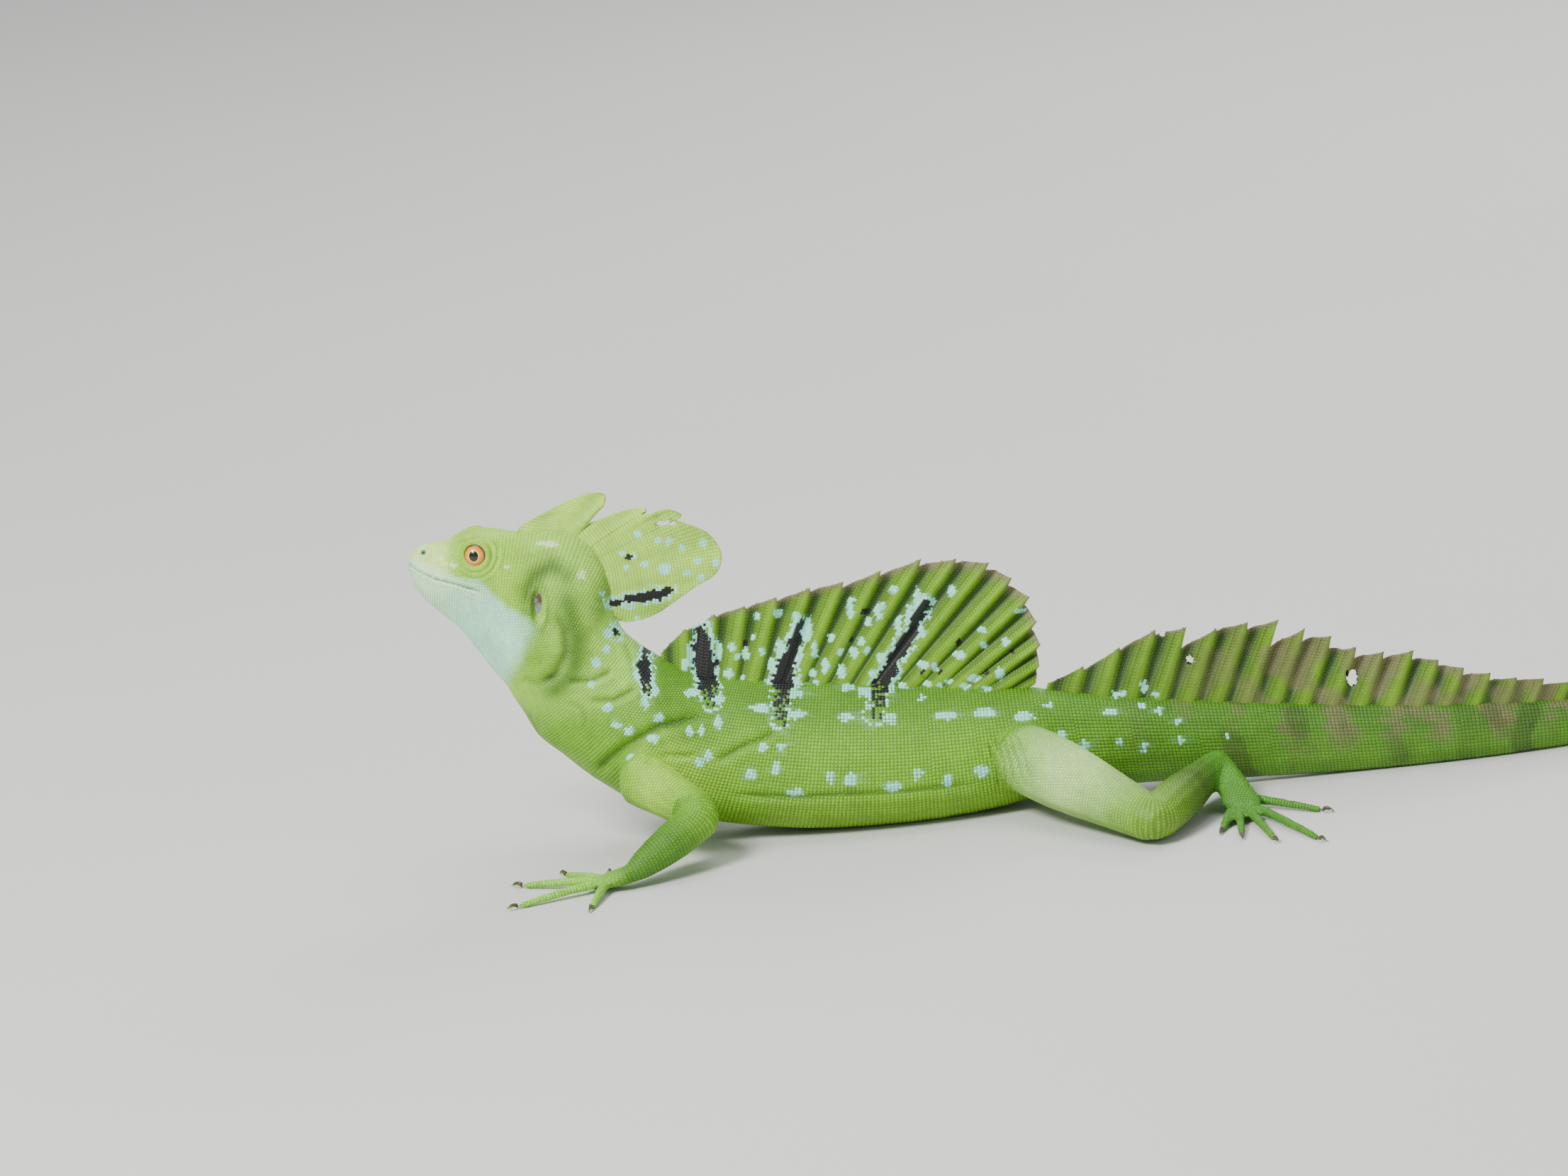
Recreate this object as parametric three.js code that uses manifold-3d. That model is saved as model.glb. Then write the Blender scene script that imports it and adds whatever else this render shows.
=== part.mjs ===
// Green basilisk, an adult male, life size, lying with its chest raised on its arms and its head held high.
// Millimetres, +Z up. The snout points to -X, the tail to +X, and the left side faces -Y.
// The body is one surface lofted through stations from the snout to the tip of the tail, and parted by
// thin plane cuts. Crests are ribbed blades set on the body, and limbs are rounded tubes that end in
// five long clawed digits. The belly, the hands, the feet and the tail lie on the floor, on small flats.
import * as THREE from "three";
import Module from "manifold-3d";
import { mergeVertices } from "three/addons/utils/BufferGeometryUtils.js";

const wasm = await Module();
wasm.setup();

// Clear space between neighbouring parts.
const GAP = 0.3;
const DEGREE = Math.PI / 180;

const SKIN = new THREE.MeshStandardMaterial({ color: 0x7fae35, roughness: 0.55, metalness: 0 });
const THROAT_SKIN = new THREE.MeshStandardMaterial({ color: 0x9ccf8a, roughness: 0.55, metalness: 0 });
const CREST_SKIN = new THREE.MeshStandardMaterial({ color: 0x86b63c, roughness: 0.6, metalness: 0 });
const IRIS = new THREE.MeshStandardMaterial({ color: 0xe8a63a, roughness: 0.1, metalness: 0 });

// Stations along the body, from the snout to the tip of the tail. Each one is a flat section between a
// point on the back and a point on the underside: back x, back z, underside x, underside z, half width,
// and how the half width grows from the back and from the underside (0.5 is round, 1 is a sharp ridge).
const STATIONS = [
  [-135.4, 101.2, -135.6, 97.6, 2.6, 0.5, 0.5],
  [-133.2, 104.0, -134.4, 92.0, 5.4, 0.45, 0.5],
  [-128.5, 105.4, -131.2, 86.6, 7.2, 0.42, 0.55],
  [-122.5, 105.6, -126.6, 81.6, 8.8, 0.4, 0.6],
  [-117.4, 107.8, -122.0, 77.0, 10.4, 0.34, 0.62],
  [-111.5, 108.2, -118.0, 71.0, 11.6, 0.34, 0.62],
  [-105.5, 107.6, -114.4, 65.0, 12.6, 0.4, 0.6],
  [-98.5, 106.4, -111.2, 60.0, 13.6, 0.6, 0.55],
  [-90.5, 106.6, -109.0, 57.0, 14.4, 0.8, 0.5],
  [-82.0, 106.0, -108.0, 55.0, 14.6, 0.9, 0.5],
  [-75.0, 102.0, -107.2, 53.2, 14.6, 0.95, 0.5],
  [-71.0, 95.0, -106.4, 51.4, 14.4, 0.95, 0.5],
  [-69.8, 87.0, -105.6, 49.8, 14.2, 0.9, 0.5],
  [-71.8, 79.0, -104.6, 48.0, 14.0, 0.8, 0.5],
  [-69.5, 71.0, -103.0, 44.5, 13.8, 0.65, 0.5],
  [-64.5, 65.5, -100.0, 38.6, 14.2, 0.6, 0.5],
  [-59.5, 61.5, -94.0, 33.0, 15.0, 0.6, 0.5],
  [-53.5, 57.2, -86.0, 25.0, 16.2, 0.6, 0.5],
  [-46.5, 54.0, -75.0, 16.5, 17.4, 0.65, 0.5],
  [-37.0, 52.0, -60.0, 9.0, 18.6, 0.7, 0.48],
  [-25.0, 50.0, -40.0, 4.0, 20.0, 0.72, 0.45],
  [-9.0, 48.0, -18.0, 0.5, 21.4, 0.75, 0.42],
  [8.0, 45.6, 3.0, -0.8, 21.8, 0.75, 0.42],
  [25.0, 43.2, 24.0, -0.8, 20.6, 0.72, 0.42],
  [42.0, 40.6, 44.0, 0.4, 17.4, 0.65, 0.45],
  [57.0, 38.4, 60.0, 2.8, 13.6, 0.55, 0.48],
  [76.0, 35.0, 79.0, 3.0, 11.0, 0.5, 0.5],
  [100.0, 31.0, 103.0, 2.4, 9.4, 0.5, 0.5],
  [130.0, 27.0, 132.0, 0.6, 8.0, 0.5, 0.5],
  [165.0, 22.5, 166.0, -0.5, 6.8, 0.5, 0.5],
  [205.0, 18.0, 205.0, -0.5, 5.6, 0.5, 0.5],
  [255.0, 13.8, 255.0, -0.5, 4.7, 0.5, 0.5],
  [310.0, 10.8, 310.0, -0.5, 4.0, 0.5, 0.5],
  [370.0, 8.2, 370.0, -0.5, 3.3, 0.5, 0.5],
  [435.0, 6.0, 435.0, -0.5, 2.6, 0.5, 0.5],
  [500.0, 4.4, 500.0, -0.5, 2.0, 0.5, 0.5],
  [555.0, 3.1, 555.0, -0.4, 1.5, 0.5, 0.5],
  [592.0, 2.2, 592.0, -0.2, 1.0, 0.5, 0.5],
];

// Where the body is parted: a point on the back and one on the underside.
const NECK_CUT = [[-70.8, 75.0], [-103.8, 46.4]];
const SHOULDER_CUT = [[-50.0, 55.6], [-81.0, 21.0]];
const TAIL_CUTS = [62, 130, 215, 320, 440];

// The tail swings away from the left side and back again, as a heading in degrees over length.
const TAIL_SWING = { from: 165, to: 310, turn: 30 };
const TAIL_RETURN = { from: 320, to: 560, turn: -58 };

// Share of a head section, from the back, at which the mouth line runs, and the station of its corner.
const MOUTH_SHARE = 0.5;
const MOUTH_CORNER = 5.1;
const MOUTH_DEPTH = 0.75;
const LIP_RISE = 0.4;

// Swellings and hollows of the sides of the head and neck: x, z, spread in x, spread in z, height.
const SIDE_FORMS = [
  [-113.5, 102.0, 6.0, 5.0, 0.8],
  [-112.5, 107.0, 7.0, 1.6, 1.0],
  [-101.0, 91.0, 8.0, 8.0, 0.9],
  [-104.0, 68.0, 8.0, 8.0, 1.4],
  [-91.5, 75.0, 2.4, 10.0, -1.6],
  [-95.0, 87.5, 3.0, 6.0, -0.7],
  [-82.0, 86.0, 7.0, 9.0, 0.9],
];

const EYE = { x: -113.3, z: 102.0, side: 7.5, radius: 4.6, lidRadius: 3.95, lidThick: 0.95, lidOut: 2.5 };
const EYE_FORWARD = -0.2;
const EYE_UP = 0.12;
const NOSTRIL = { x: -130.3, z: 103.4, side: 4.2, size: [1.1, 1.1, 0.75] };
const EAR = { x: -95.7, z: 84.0, side: 14.6, size: [1.7, 1.7, 4.6], tilt: 6 };

// Digits of a hand and a foot, thumb first: length from the palm, and direction in plan, in degrees
// from the way the hand or foot points.
const HAND_DIGITS = [
  { length: 14, turn: -88 },
  { length: 22, turn: -52 },
  { length: 28, turn: -20 },
  { length: 29, turn: 26 },
  { length: 20, turn: 80 },
];
const FOOT_DIGITS = [
  { length: 16, turn: -26 },
  { length: 24, turn: -12 },
  { length: 33, turn: 2 },
  { length: 42, turn: 16 },
  { length: 31, turn: 46 },
];
const CREST_PLEAT = 0.6;
const DIGIT_RADIUS = 1.7;
const CLAW_LENGTH = 3.2;
const CLAW_RADIUS = 0.6;
const PALM_REACH = 2.4;
const SOLE_WIDTH = 5;

// Joints of the four limbs, as x, y, z, and the way the hand or foot points, in degrees. A left limb
// has negative y.
const ARMS = {
  left: {
    shoulder: [-73, -13, 28],
    elbow: [-49.5, -38, 17],
    wrist: [-74, -53, 5],
    palm: [-82, -52, 3],
    points: 176,
  },
  right: {
    shoulder: [-70, 13, 28],
    elbow: [-38, 37, 20],
    wrist: [-37, 61, 5.5],
    palm: [-44, 65, 3],
    points: 160,
  },
};
const LEGS = {
  left: {
    hip: [50, -8, 20],
    knee: [91, -63, 7.6],
    ankle: [115, -17, 11.5],
    ball: [121, -42, 3.2],
    points: -80,
  },
  right: {
    hip: [50, 8, 20],
    knee: [82, 62, 7.6],
    ankle: [108, 20, 11],
    ball: [117, 45, 3.2],
    points: 74,
  },
};

// Crests along the back and the tail. Rays lean back by the two angles, front and rear, and their
// lengths are given at shares of the way along the crest.
const BACK_CREST = {
  fromX: -58.5,
  toX: 57,
  rays: 17,
  lengths: [
    [0, 4],
    [0.06, 13],
    [0.13, 20],
    [0.25, 28],
    [0.38, 36],
    [0.5, 46.5],
    [0.58, 49.5],
    [0.65, 49],
    [0.75, 41],
    [0.88, 22.5],
    [1, 3],
  ],
  lean: [0, 66],
  leanPower: 0.85,
  dip: 0.06,
  root: 2.6,
  rayHalf: 1.25,
  skinHalf: 0.75,
};
const TAIL_CREST = {
  fromX: 63,
  toX: 246,
  rays: 21,
  lengths: [
    [0, 2],
    [0.05, 8.5],
    [0.15, 23],
    [0.3, 26],
    [0.37, 27.5],
    [0.42, 26],
    [0.48, 20],
    [0.6, 17.5],
    [0.75, 10],
    [0.9, 5.5],
    [1, 2.5],
  ],
  lean: [22, 30],
  leanPower: 1,
  dip: 0.16,
  root: 2.2,
  rayHalf: 1.0,
  skinHalf: 0.62,
};

// Outlines of the two head crests, from the crown and the casque's back edge: root and margin, as x, z.
const FRONT_CREST = {
  root: [[-99, 105.2], [-90, 104.6], [-81.5, 104.2]],
  margin: [
    [-98.6, 107.2],
    [-91, 110.8],
    [-83, 114.2],
    [-75.5, 116.4],
    [-71.2, 115.4],
    [-71.6, 112.6],
    [-75.5, 110.2],
    [-80.6, 108.6],
  ],
  rootHalf: 1.5,
  marginHalf: 0.4,
};
const REAR_CREST = {
  root: [[-81, 103.4], [-77, 99], [-74.6, 92], [-74.4, 84], [-77, 77.4]],
  margin: [
    [-79.4, 105.4],
    [-74, 107],
    [-67, 109],
    [-59.5, 109.4],
    [-56.5, 107.6],
    [-50, 107.4],
    [-44, 103],
    [-38.4, 97.4],
    [-36, 91.5],
    [-38.6, 86.4],
    [-45, 83],
    [-52, 79],
    [-58.5, 75],
    [-65, 73.4],
    [-71, 74.6],
    [-74.5, 76.4],
  ],
  rootHalf: 2.6,
  marginHalf: 0.45,
};

// Curves through the stations: the back line, the underside line, and the width and its two powers.
function throughStations(toPoint) {
  return new THREE.CatmullRomCurve3(STATIONS.map(toPoint), false, "catmullrom", 0.5);
}
const backLine = throughStations(([x, z]) => new THREE.Vector3(x, 0, z));
const underLine = throughStations(([, , x, z]) => new THREE.Vector3(x, 0, z));
const widths = throughStations(([, , , , width, top, under]) => new THREE.Vector3(width, top, under));

function bell(distance, spread) {
  return Math.exp(-((distance / spread) ** 2));
}

function smooth(from, to, value) {
  return THREE.MathUtils.smoothstep(value, from, to);
}

// Half width of a station's section at a share of the way from the back to the underside.
function sectionWidth(width, topPower, underPower, share) {
  const widest = topPower / (topPower + underPower);
  return width * (share / widest) ** topPower * ((1 - share) / (1 - widest)) ** underPower;
}

// A point on the left or right side of the body. The section grows outwards by `grow`.
function bodyPoint(station, share, side, grow) {
  const u = THREE.MathUtils.clamp(station / (STATIONS.length - 1), 0, 1);
  const back = backLine.getPoint(u);
  const under = underLine.getPoint(u);
  const { x: width, y: topPower, z: underPower } = widths.getPoint(u);
  const down = under.clone().sub(back).normalize();
  back.addScaledVector(down, -grow);
  under.addScaledVector(down, grow);
  const point = back.lerp(under, share);
  let out = sectionWidth(width + grow, topPower, underPower, share);
  const fullness = Math.min(1, out / 5);
  for (const [x, z, spreadX, spreadZ, height] of SIDE_FORMS) {
    out += fullness * height * bell(point.x - x, spreadX) * bell(point.z - z, spreadZ);
  }
  const mouth = 1 - smooth(MOUTH_CORNER - 0.6, MOUTH_CORNER, station);
  const offMouth = Math.abs(share - MOUTH_SHARE);
  if (grow === 0 && offMouth < 0.01) out -= MOUTH_DEPTH * mouth;
  else if (offMouth < 0.05) out += LIP_RISE * mouth;
  point.y = side * Math.max(out, 0);
  return point;
}

// Shares of the section at which a ring has its points.
function evenShares(count) {
  return Array.from({ length: count }, (_, i) => (1 - Math.cos((Math.PI * i) / (count - 1))) / 2);
}
const UPPER_HEAD_SHARES = [0, 0.02, 0.06, 0.12, 0.2, 0.3, 0.39, 0.465];
const LOWER_HEAD_SHARES = [0.535, 0.61, 0.7, 0.79, 0.87, 0.94, 0.98, 1];
const HEAD_SHARES = [...UPPER_HEAD_SHARES, MOUTH_SHARE, ...LOWER_HEAD_SHARES];

// Bends a cylinder's rings to any closed surface: place(ring, angle step) gives a point.
function tubeFrom(sides, rings, place) {
  const geometry = new THREE.CylinderGeometry(1, 1, 1, sides, rings, false);
  const position = geometry.getAttribute("position");
  for (let i = 0; i < position.count; i++) {
    const ring = Math.round((0.5 - position.getY(i)) * rings);
    const radius = Math.hypot(position.getX(i), position.getZ(i));
    const turn = Math.atan2(position.getX(i), position.getZ(i)) / (2 * Math.PI);
    const step = (Math.round(turn * sides) + sides) % sides;
    const point = radius > 0.5 ? place(ring, step) : middleOf(sides, ring, place);
    position.setXYZ(i, point.x, point.y, point.z);
  }
  return solid(geometry);
}

function middleOf(sides, ring, place) {
  const sum = new THREE.Vector3();
  for (let step = 0; step < sides; step++) sum.add(place(ring, step));
  return sum.divideScalar(sides);
}

// A closed geometry as a solid that can be joined and cut, whichever way its faces were wound.
function solid(geometry) {
  const bare = geometry.index ? geometry.toNonIndexed() : geometry.clone();
  bare.deleteAttribute("normal");
  bare.deleteAttribute("uv");
  const merged = mergeVertices(bare, 1e-4);
  const vertProperties = merged.getAttribute("position").array;
  const outward = new Uint32Array(merged.index.array);
  const inward = outward.slice();
  for (let i = 0; i < inward.length; i += 3) {
    inward[i + 1] = outward[i + 2];
    inward[i + 2] = outward[i + 1];
  }
  const made = (triVerts) => new wasm.Manifold(new wasm.Mesh({ numProp: 3, vertProperties, triVerts }));
  const first = made(outward);
  return first.volume() > 0 ? first : made(inward);
}

// A length of the body between two stations.
function bodyLength(from, to, rings, shares, grow = 0) {
  const last = shares.length - 1;
  return tubeFrom(2 * last, rings, (ring, step) => {
    const station = from + ((to - from) * ring) / rings;
    const share = shares[step <= last ? step : 2 * last - step];
    return bodyPoint(station, share, step <= last ? -1 : 1, grow);
  });
}

// Keeps what lies on one side of a cut across the body: 1 is towards the tail, -1 towards the snout.
function beside(part, [[backX, backZ], [underX, underZ]], keep) {
  const across = new THREE.Vector3(backZ - underZ, 0, underX - backX).normalize();
  const offset = across.x * backX + across.z * backZ;
  return part.trimByPlane([keep * across.x, 0, keep * across.z], keep * offset + GAP / 2);
}

function crossCut(x) {
  return [[x, 10], [x, 0]];
}

function onFloor(part) {
  return part.trimByPlane([0, 0, 1], 0);
}

function largest(part) {
  const pieces = part.decompose();
  return pieces.reduce((best, piece) => (piece.volume() > best.volume() ? piece : best));
}

// Takes the neighbours, already grown by the gap, out of a part.
function clearOf(part, neighbours) {
  return largest(neighbours.reduce((left, neighbour) => left.subtract(neighbour), part));
}

function ball(x, y, z, [rx, ry, rz], across = 12, high = 8) {
  const geometry = new THREE.SphereGeometry(1, across, high);
  geometry.scale(rx, ry, rz);
  geometry.translate(x, y, z);
  return solid(geometry);
}

// A tube through points of x, y, z, sideways radius and upright radius, with rounded ends.
function roundTube(points, sides, rings) {
  const through = (toPoint) => new THREE.CatmullRomCurve3(points.map(toPoint), false, "centripetal");
  const line = through(([x, y, z]) => new THREE.Vector3(x, y, z));
  const radii = through(([, , , sideways, upright]) => new THREE.Vector3(sideways, upright, 0));
  const length = line.getLength();
  return tubeFrom(sides, rings, (ring, step) => {
    const u = (1 - Math.cos((Math.PI * ring) / rings)) / 2;
    const nearEnd = Math.min(u, 1 - u) * length;
    const { x: sidewaysRadius, y: uprightRadius } = radii.getPoint(u);
    const reach = 0.8 * Math.max(sidewaysRadius, uprightRadius);
    const rounding = nearEnd >= reach ? 1 : Math.sqrt(Math.max(0.04, 1 - (1 - nearEnd / reach) ** 2));
    const ahead = line.getTangent(u);
    const sideways = new THREE.Vector3(ahead.y, -ahead.x, 0).normalize();
    const upright = sideways.clone().cross(ahead).normalize();
    const angle = (2 * Math.PI * step) / sides;
    return line
      .getPoint(u)
      .addScaledVector(sideways, sidewaysRadius * rounding * Math.cos(angle))
      .addScaledVector(upright, uprightRadius * rounding * Math.sin(angle));
  });
}

// A thin blade in the middle plane between a root curve and an edge curve. half(u, v) is its half
// thickness and lean(u, v) its sideways offset, with u along the root and v from the root to the edge.
function blade(columns, rows, root, edge, half, lean = () => 0) {
  const at = (column, row, side) => {
    const u = column / columns;
    const v = row / rows;
    const point = root(u).lerp(edge(u), v);
    point.y = lean(u, v) + side * half(u, v);
    return point;
  };
  const corners = [];
  const quad = (a, b, c, d) => corners.push(a, b, c, a, c, d);
  for (let column = 0; column < columns; column++) {
    for (let row = 0; row < rows; row++) {
      for (const side of [-1, 1]) {
        const a = at(column, row, side);
        const b = at(column + 1, row, side);
        const c = at(column + 1, row + 1, side);
        const d = at(column, row + 1, side);
        if (side < 0) quad(a, b, c, d);
        else corners.push(a, c, b, a, d, c);
      }
    }
    quad(at(column, 0, 1), at(column + 1, 0, 1), at(column + 1, 0, -1), at(column, 0, -1));
    quad(at(column, rows, -1), at(column + 1, rows, -1), at(column + 1, rows, 1), at(column, rows, 1));
  }
  for (let row = 0; row < rows; row++) {
    quad(at(0, row, 1), at(0, row, -1), at(0, row + 1, -1), at(0, row + 1, 1));
    quad(at(columns, row, -1), at(columns, row, 1), at(columns, row + 1, 1), at(columns, row + 1, -1));
  }
  return solid(new THREE.BufferGeometry().setFromPoints(corners));
}

function flatCurve(points) {
  const flat = points.map(([x, z]) => new THREE.Vector3(x, 0, z));
  return new THREE.CatmullRomCurve3(flat, false, "centripetal");
}

// Back line of the body at an x, found on the station curve.
const BACK_POINTS = backLine.getPoints(600);
function backAt(x) {
  const next = BACK_POINTS.findIndex((p, i) => p.x >= x && p.z < 60 && i > 200);
  return BACK_POINTS[next].z;
}

// Value at a share of the way along a list of [share, value] pairs.
function valueAt(pairs, share) {
  const next = Math.max(1, pairs.findIndex(([at]) => at >= share - 1e-9));
  const [[fromShare, from], [toShare, to]] = [pairs[next - 1], pairs[next]];
  return THREE.MathUtils.mapLinear(share, fromShare, toShare, from, to);
}

// A row of rays that lean back, joined by thin skin. Behind each ray the margin drops by `dip` and
// climbs again to the next tip, and the skin is pleated: rays to one side, the skin between to the other.
const COLUMNS_PER_RAY = 3;
function rayedCrest({ fromX, toX, rays, lengths, lean, leanPower, dip, root, rayHalf, skinHalf }) {
  const columns = COLUMNS_PER_RAY * (rays - 1);
  const stepOf = (u) => Math.round(u * columns) % COLUMNS_PER_RAY;
  const along = (u, distance) => {
    const x = THREE.MathUtils.lerp(fromX, toX, u);
    const angle = (lean[0] + (lean[1] - lean[0]) * u ** leanPower) * DEGREE;
    return new THREE.Vector3(x + Math.sin(angle) * distance, 0, backAt(x) + Math.cos(angle) * distance);
  };
  const dips = [0, dip, dip * 0.45];
  return blade(
    columns,
    3,
    (u) => along(u, -root),
    (u) => along(u, valueAt(lengths, u) * (1 - dips[stepOf(u)])),
    (u, v) => THREE.MathUtils.lerp(stepOf(u) === 0 ? rayHalf : skinHalf, stepOf(u) === 0 ? 0.42 : 0.27, v),
    (u, v) => (stepOf(u) === 0 ? CREST_PLEAT : -CREST_PLEAT / 2) * v,
  );
}

// Left or right copies of the eye parts sit at the same height on both sides of the head.
function eyeCentre(side) {
  return new THREE.Vector3(EYE.x, side * EYE.side, EYE.z);
}

function lidRing(side) {
  const gaze = new THREE.Vector3(EYE_FORWARD, side, EYE_UP).normalize();
  const geometry = new THREE.TorusGeometry(EYE.lidRadius, EYE.lidThick, 6, 16);
  geometry.scale(1.06, 0.98, 1);
  geometry.applyQuaternion(new THREE.Quaternion().setFromUnitVectors(new THREE.Vector3(0, 0, 1), gaze));
  const centre = eyeCentre(side).addScaledVector(gaze, EYE.lidOut);
  geometry.translate(centre.x, centre.y, centre.z);
  return solid(geometry);
}

function earCup(side) {
  const geometry = new THREE.SphereGeometry(1, 12, 8);
  geometry.scale(...EAR.size);
  geometry.rotateY(EAR.tilt * DEGREE);
  geometry.translate(EAR.x, side * EAR.side, EAR.z);
  return solid(geometry);
}

// Nodes of the axial body, still straight: name to solid.
const parts = new Map();
const bodyAndGap = {
  head: bodyLength(0, 14, 22, HEAD_SHARES, GAP),
  neck: bodyLength(13.2, 18.6, 9, evenShares(13), GAP),
  torso: bodyLength(16.8, 26.2, 16, evenShares(15), GAP),
  tail: bodyLength(25, 31.5, 14, evenShares(9), GAP),
};

let head = bodyLength(0, 14.2, 32, HEAD_SHARES);
for (const side of [-1, 1]) {
  const centre = eyeCentre(side);
  const socket = EYE.radius + GAP;
  head = head
    .add(lidRing(side))
    .subtract(ball(centre.x, centre.y, centre.z, [socket, socket, socket], 14, 9))
    .subtract(ball(NOSTRIL.x, side * NOSTRIL.side, NOSTRIL.z, NOSTRIL.size, 8, 6))
    .subtract(earCup(side));
}
parts.set("head", largest(beside(head, NECK_CUT, -1)));
const neck = beside(bodyLength(13, 18.6, 12, evenShares(14)), NECK_CUT, 1);
parts.set("neck", largest(beside(neck, SHOULDER_CUT, -1)));
const trunk = beside(bodyLength(16.8, 26.2, 18, evenShares(16)), SHOULDER_CUT, 1);
const torso = beside(trunk, crossCut(TAIL_CUTS[0]), -1);
parts.set("torso", largest(onFloor(torso)));

// Station number at which the back line reaches an x on the tail.
function stationAt(x) {
  const next = STATIONS.findIndex((s, i) => i > 22 && s[0] >= x);
  const [before, after] = [STATIONS[next - 1][0], STATIONS[next][0]];
  return next - 1 + (x - before) / (after - before);
}

const TAIL_LENGTHS = [
  { rings: 8, ringShares: 8 },
  { rings: 7, ringShares: 7 },
  { rings: 8, ringShares: 6 },
  { rings: 8, ringShares: 5 },
  { rings: 9, ringShares: 5 },
];
const TAIL_OVERRUN = 5;
TAIL_LENGTHS.forEach(({ rings, ringShares }, i) => {
  const [fromX, toX] = [TAIL_CUTS[i], TAIL_CUTS[i + 1]];
  const to = toX ? stationAt(toX + TAIL_OVERRUN) : STATIONS.length - 1;
  let length = bodyLength(stationAt(fromX - TAIL_OVERRUN), to, rings, evenShares(ringShares));
  length = beside(length, crossCut(fromX), 1);
  if (toX) length = beside(length, crossCut(toX), -1);
  parts.set(`tail_${i + 1}`, largest(onFloor(length)));
});

// Eyes.
for (const [side, word] of [[-1, "left"], [1, "right"]]) {
  const centre = eyeCentre(side);
  parts.set(`eye_${word}`, ball(centre.x, centre.y, centre.z, [EYE.radius, EYE.radius, EYE.radius], 12, 9));
}

// Crests of the head: a blunt lobe that leans back over the crown, and a broad rounded sail behind it.
function headCrest({ root, margin, rootHalf, marginHalf }, columns, rows) {
  const rootCurve = flatCurve(root);
  const marginCurve = flatCurve(margin);
  return blade(
    columns,
    rows,
    (u) => rootCurve.getPoint(u),
    (u) => marginCurve.getPoint(u),
    (u, v) => THREE.MathUtils.lerp(rootHalf, marginHalf, v ** 0.7),
  );
}
parts.set("head_crest_front", clearOf(headCrest(FRONT_CREST, 9, 3), [bodyAndGap.head]));
parts.set("head_crest_rear", clearOf(headCrest(REAR_CREST, 20, 3), [bodyAndGap.head, bodyAndGap.neck]));
parts.set("back_crest", clearOf(rayedCrest(BACK_CREST), [bodyAndGap.torso, bodyAndGap.neck]));
parts.set("tail_crest", clearOf(rayedCrest(TAIL_CREST), [bodyAndGap.tail]));

// Bends the tail in plan: the point moves with the line of the tail and turns with its heading.
const BEND_STEP = 1;
function headingAt(x) {
  const swing = TAIL_SWING.turn * smooth(TAIL_SWING.from, TAIL_SWING.to, x);
  const back = TAIL_RETURN.turn * smooth(TAIL_RETURN.from, TAIL_RETURN.to, x);
  return (swing + back) * DEGREE;
}
function bend(point) {
  if (point.x <= TAIL_SWING.from) return point;
  const line = new THREE.Vector3(TAIL_SWING.from, 0, point.z);
  const length = point.x - TAIL_SWING.from;
  const steps = Math.ceil(length / BEND_STEP);
  for (let i = 0; i < steps; i++) {
    const heading = headingAt(TAIL_SWING.from + (length * (i + 0.5)) / steps);
    line.x += (Math.cos(heading) * length) / steps;
    line.y += (Math.sin(heading) * length) / steps;
  }
  const heading = headingAt(point.x);
  line.x -= Math.sin(heading) * point.y;
  line.y += Math.cos(heading) * point.y;
  return line;
}

function mix(a, b, share) {
  return a.map((value, i) => value + (b[i] - value) * share);
}

// One digit with its claw: it leaves the palm, arches over its knuckle and comes down to the floor.
function digit(start, direction, length) {
  const at = (distance, z, radius) => [
    start[0] + Math.cos(direction) * distance,
    start[1] + Math.sin(direction) * distance,
    z,
    radius,
    radius,
  ];
  const tipRadius = DIGIT_RADIUS * 0.66;
  const toe = [
    at(0, 2.8, DIGIT_RADIUS * 1.15),
    at(length * 0.35, 2.6, DIGIT_RADIUS),
    at(length * 0.7, 1.7, DIGIT_RADIUS * 0.85),
    at(length, tipRadius * 0.7, tipRadius),
  ];
  const claw = [
    at(length - 1.2, 1.2, CLAW_RADIUS),
    at(length + CLAW_LENGTH * 0.5, 1.3, CLAW_RADIUS * 0.8),
    at(length + CLAW_LENGTH, 0.35, 0.22),
  ];
  return roundTube(toe, 6, 5).add(roundTube(claw, 4, 2));
}

// Whole limb from joined lengths, parted at its joints by planes that halve the angle between them.
function partedLimb(whole, joints, names, word) {
  const points = joints.map((joint) => new THREE.Vector3(...joint));
  let rest = whole;
  for (let i = 1; i < points.length - 1; i++) {
    const before = points[i].clone().sub(points[i - 1]).normalize();
    const after = points[i + 1].clone().sub(points[i]).normalize();
    const across = before.add(after).normalize();
    const offset = across.dot(points[i]);
    const near = rest.trimByPlane(across.clone().negate().toArray(), GAP / 2 - offset);
    parts.set(`${names[i - 1]}_${word}`, largest(near));
    rest = largest(rest.trimByPlane(across.toArray(), offset + GAP / 2));
  }
  parts.set(`${names.at(-1)}_${word}`, rest);
}

function handOrFoot(sole, starts, digits, points, mirror) {
  return digits.reduce((whole, { length, turn }, i) => {
    const direction = (points + mirror * turn) * DEGREE;
    return whole.add(digit(starts(i, direction), direction, length));
  }, sole);
}

// A length between two joints, as shares of the way between them with the two radii there.
function between(from, to, shares) {
  return shares.map(([share, sideways, upright]) => [...mix(from, to, share), sideways, upright]);
}

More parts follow.
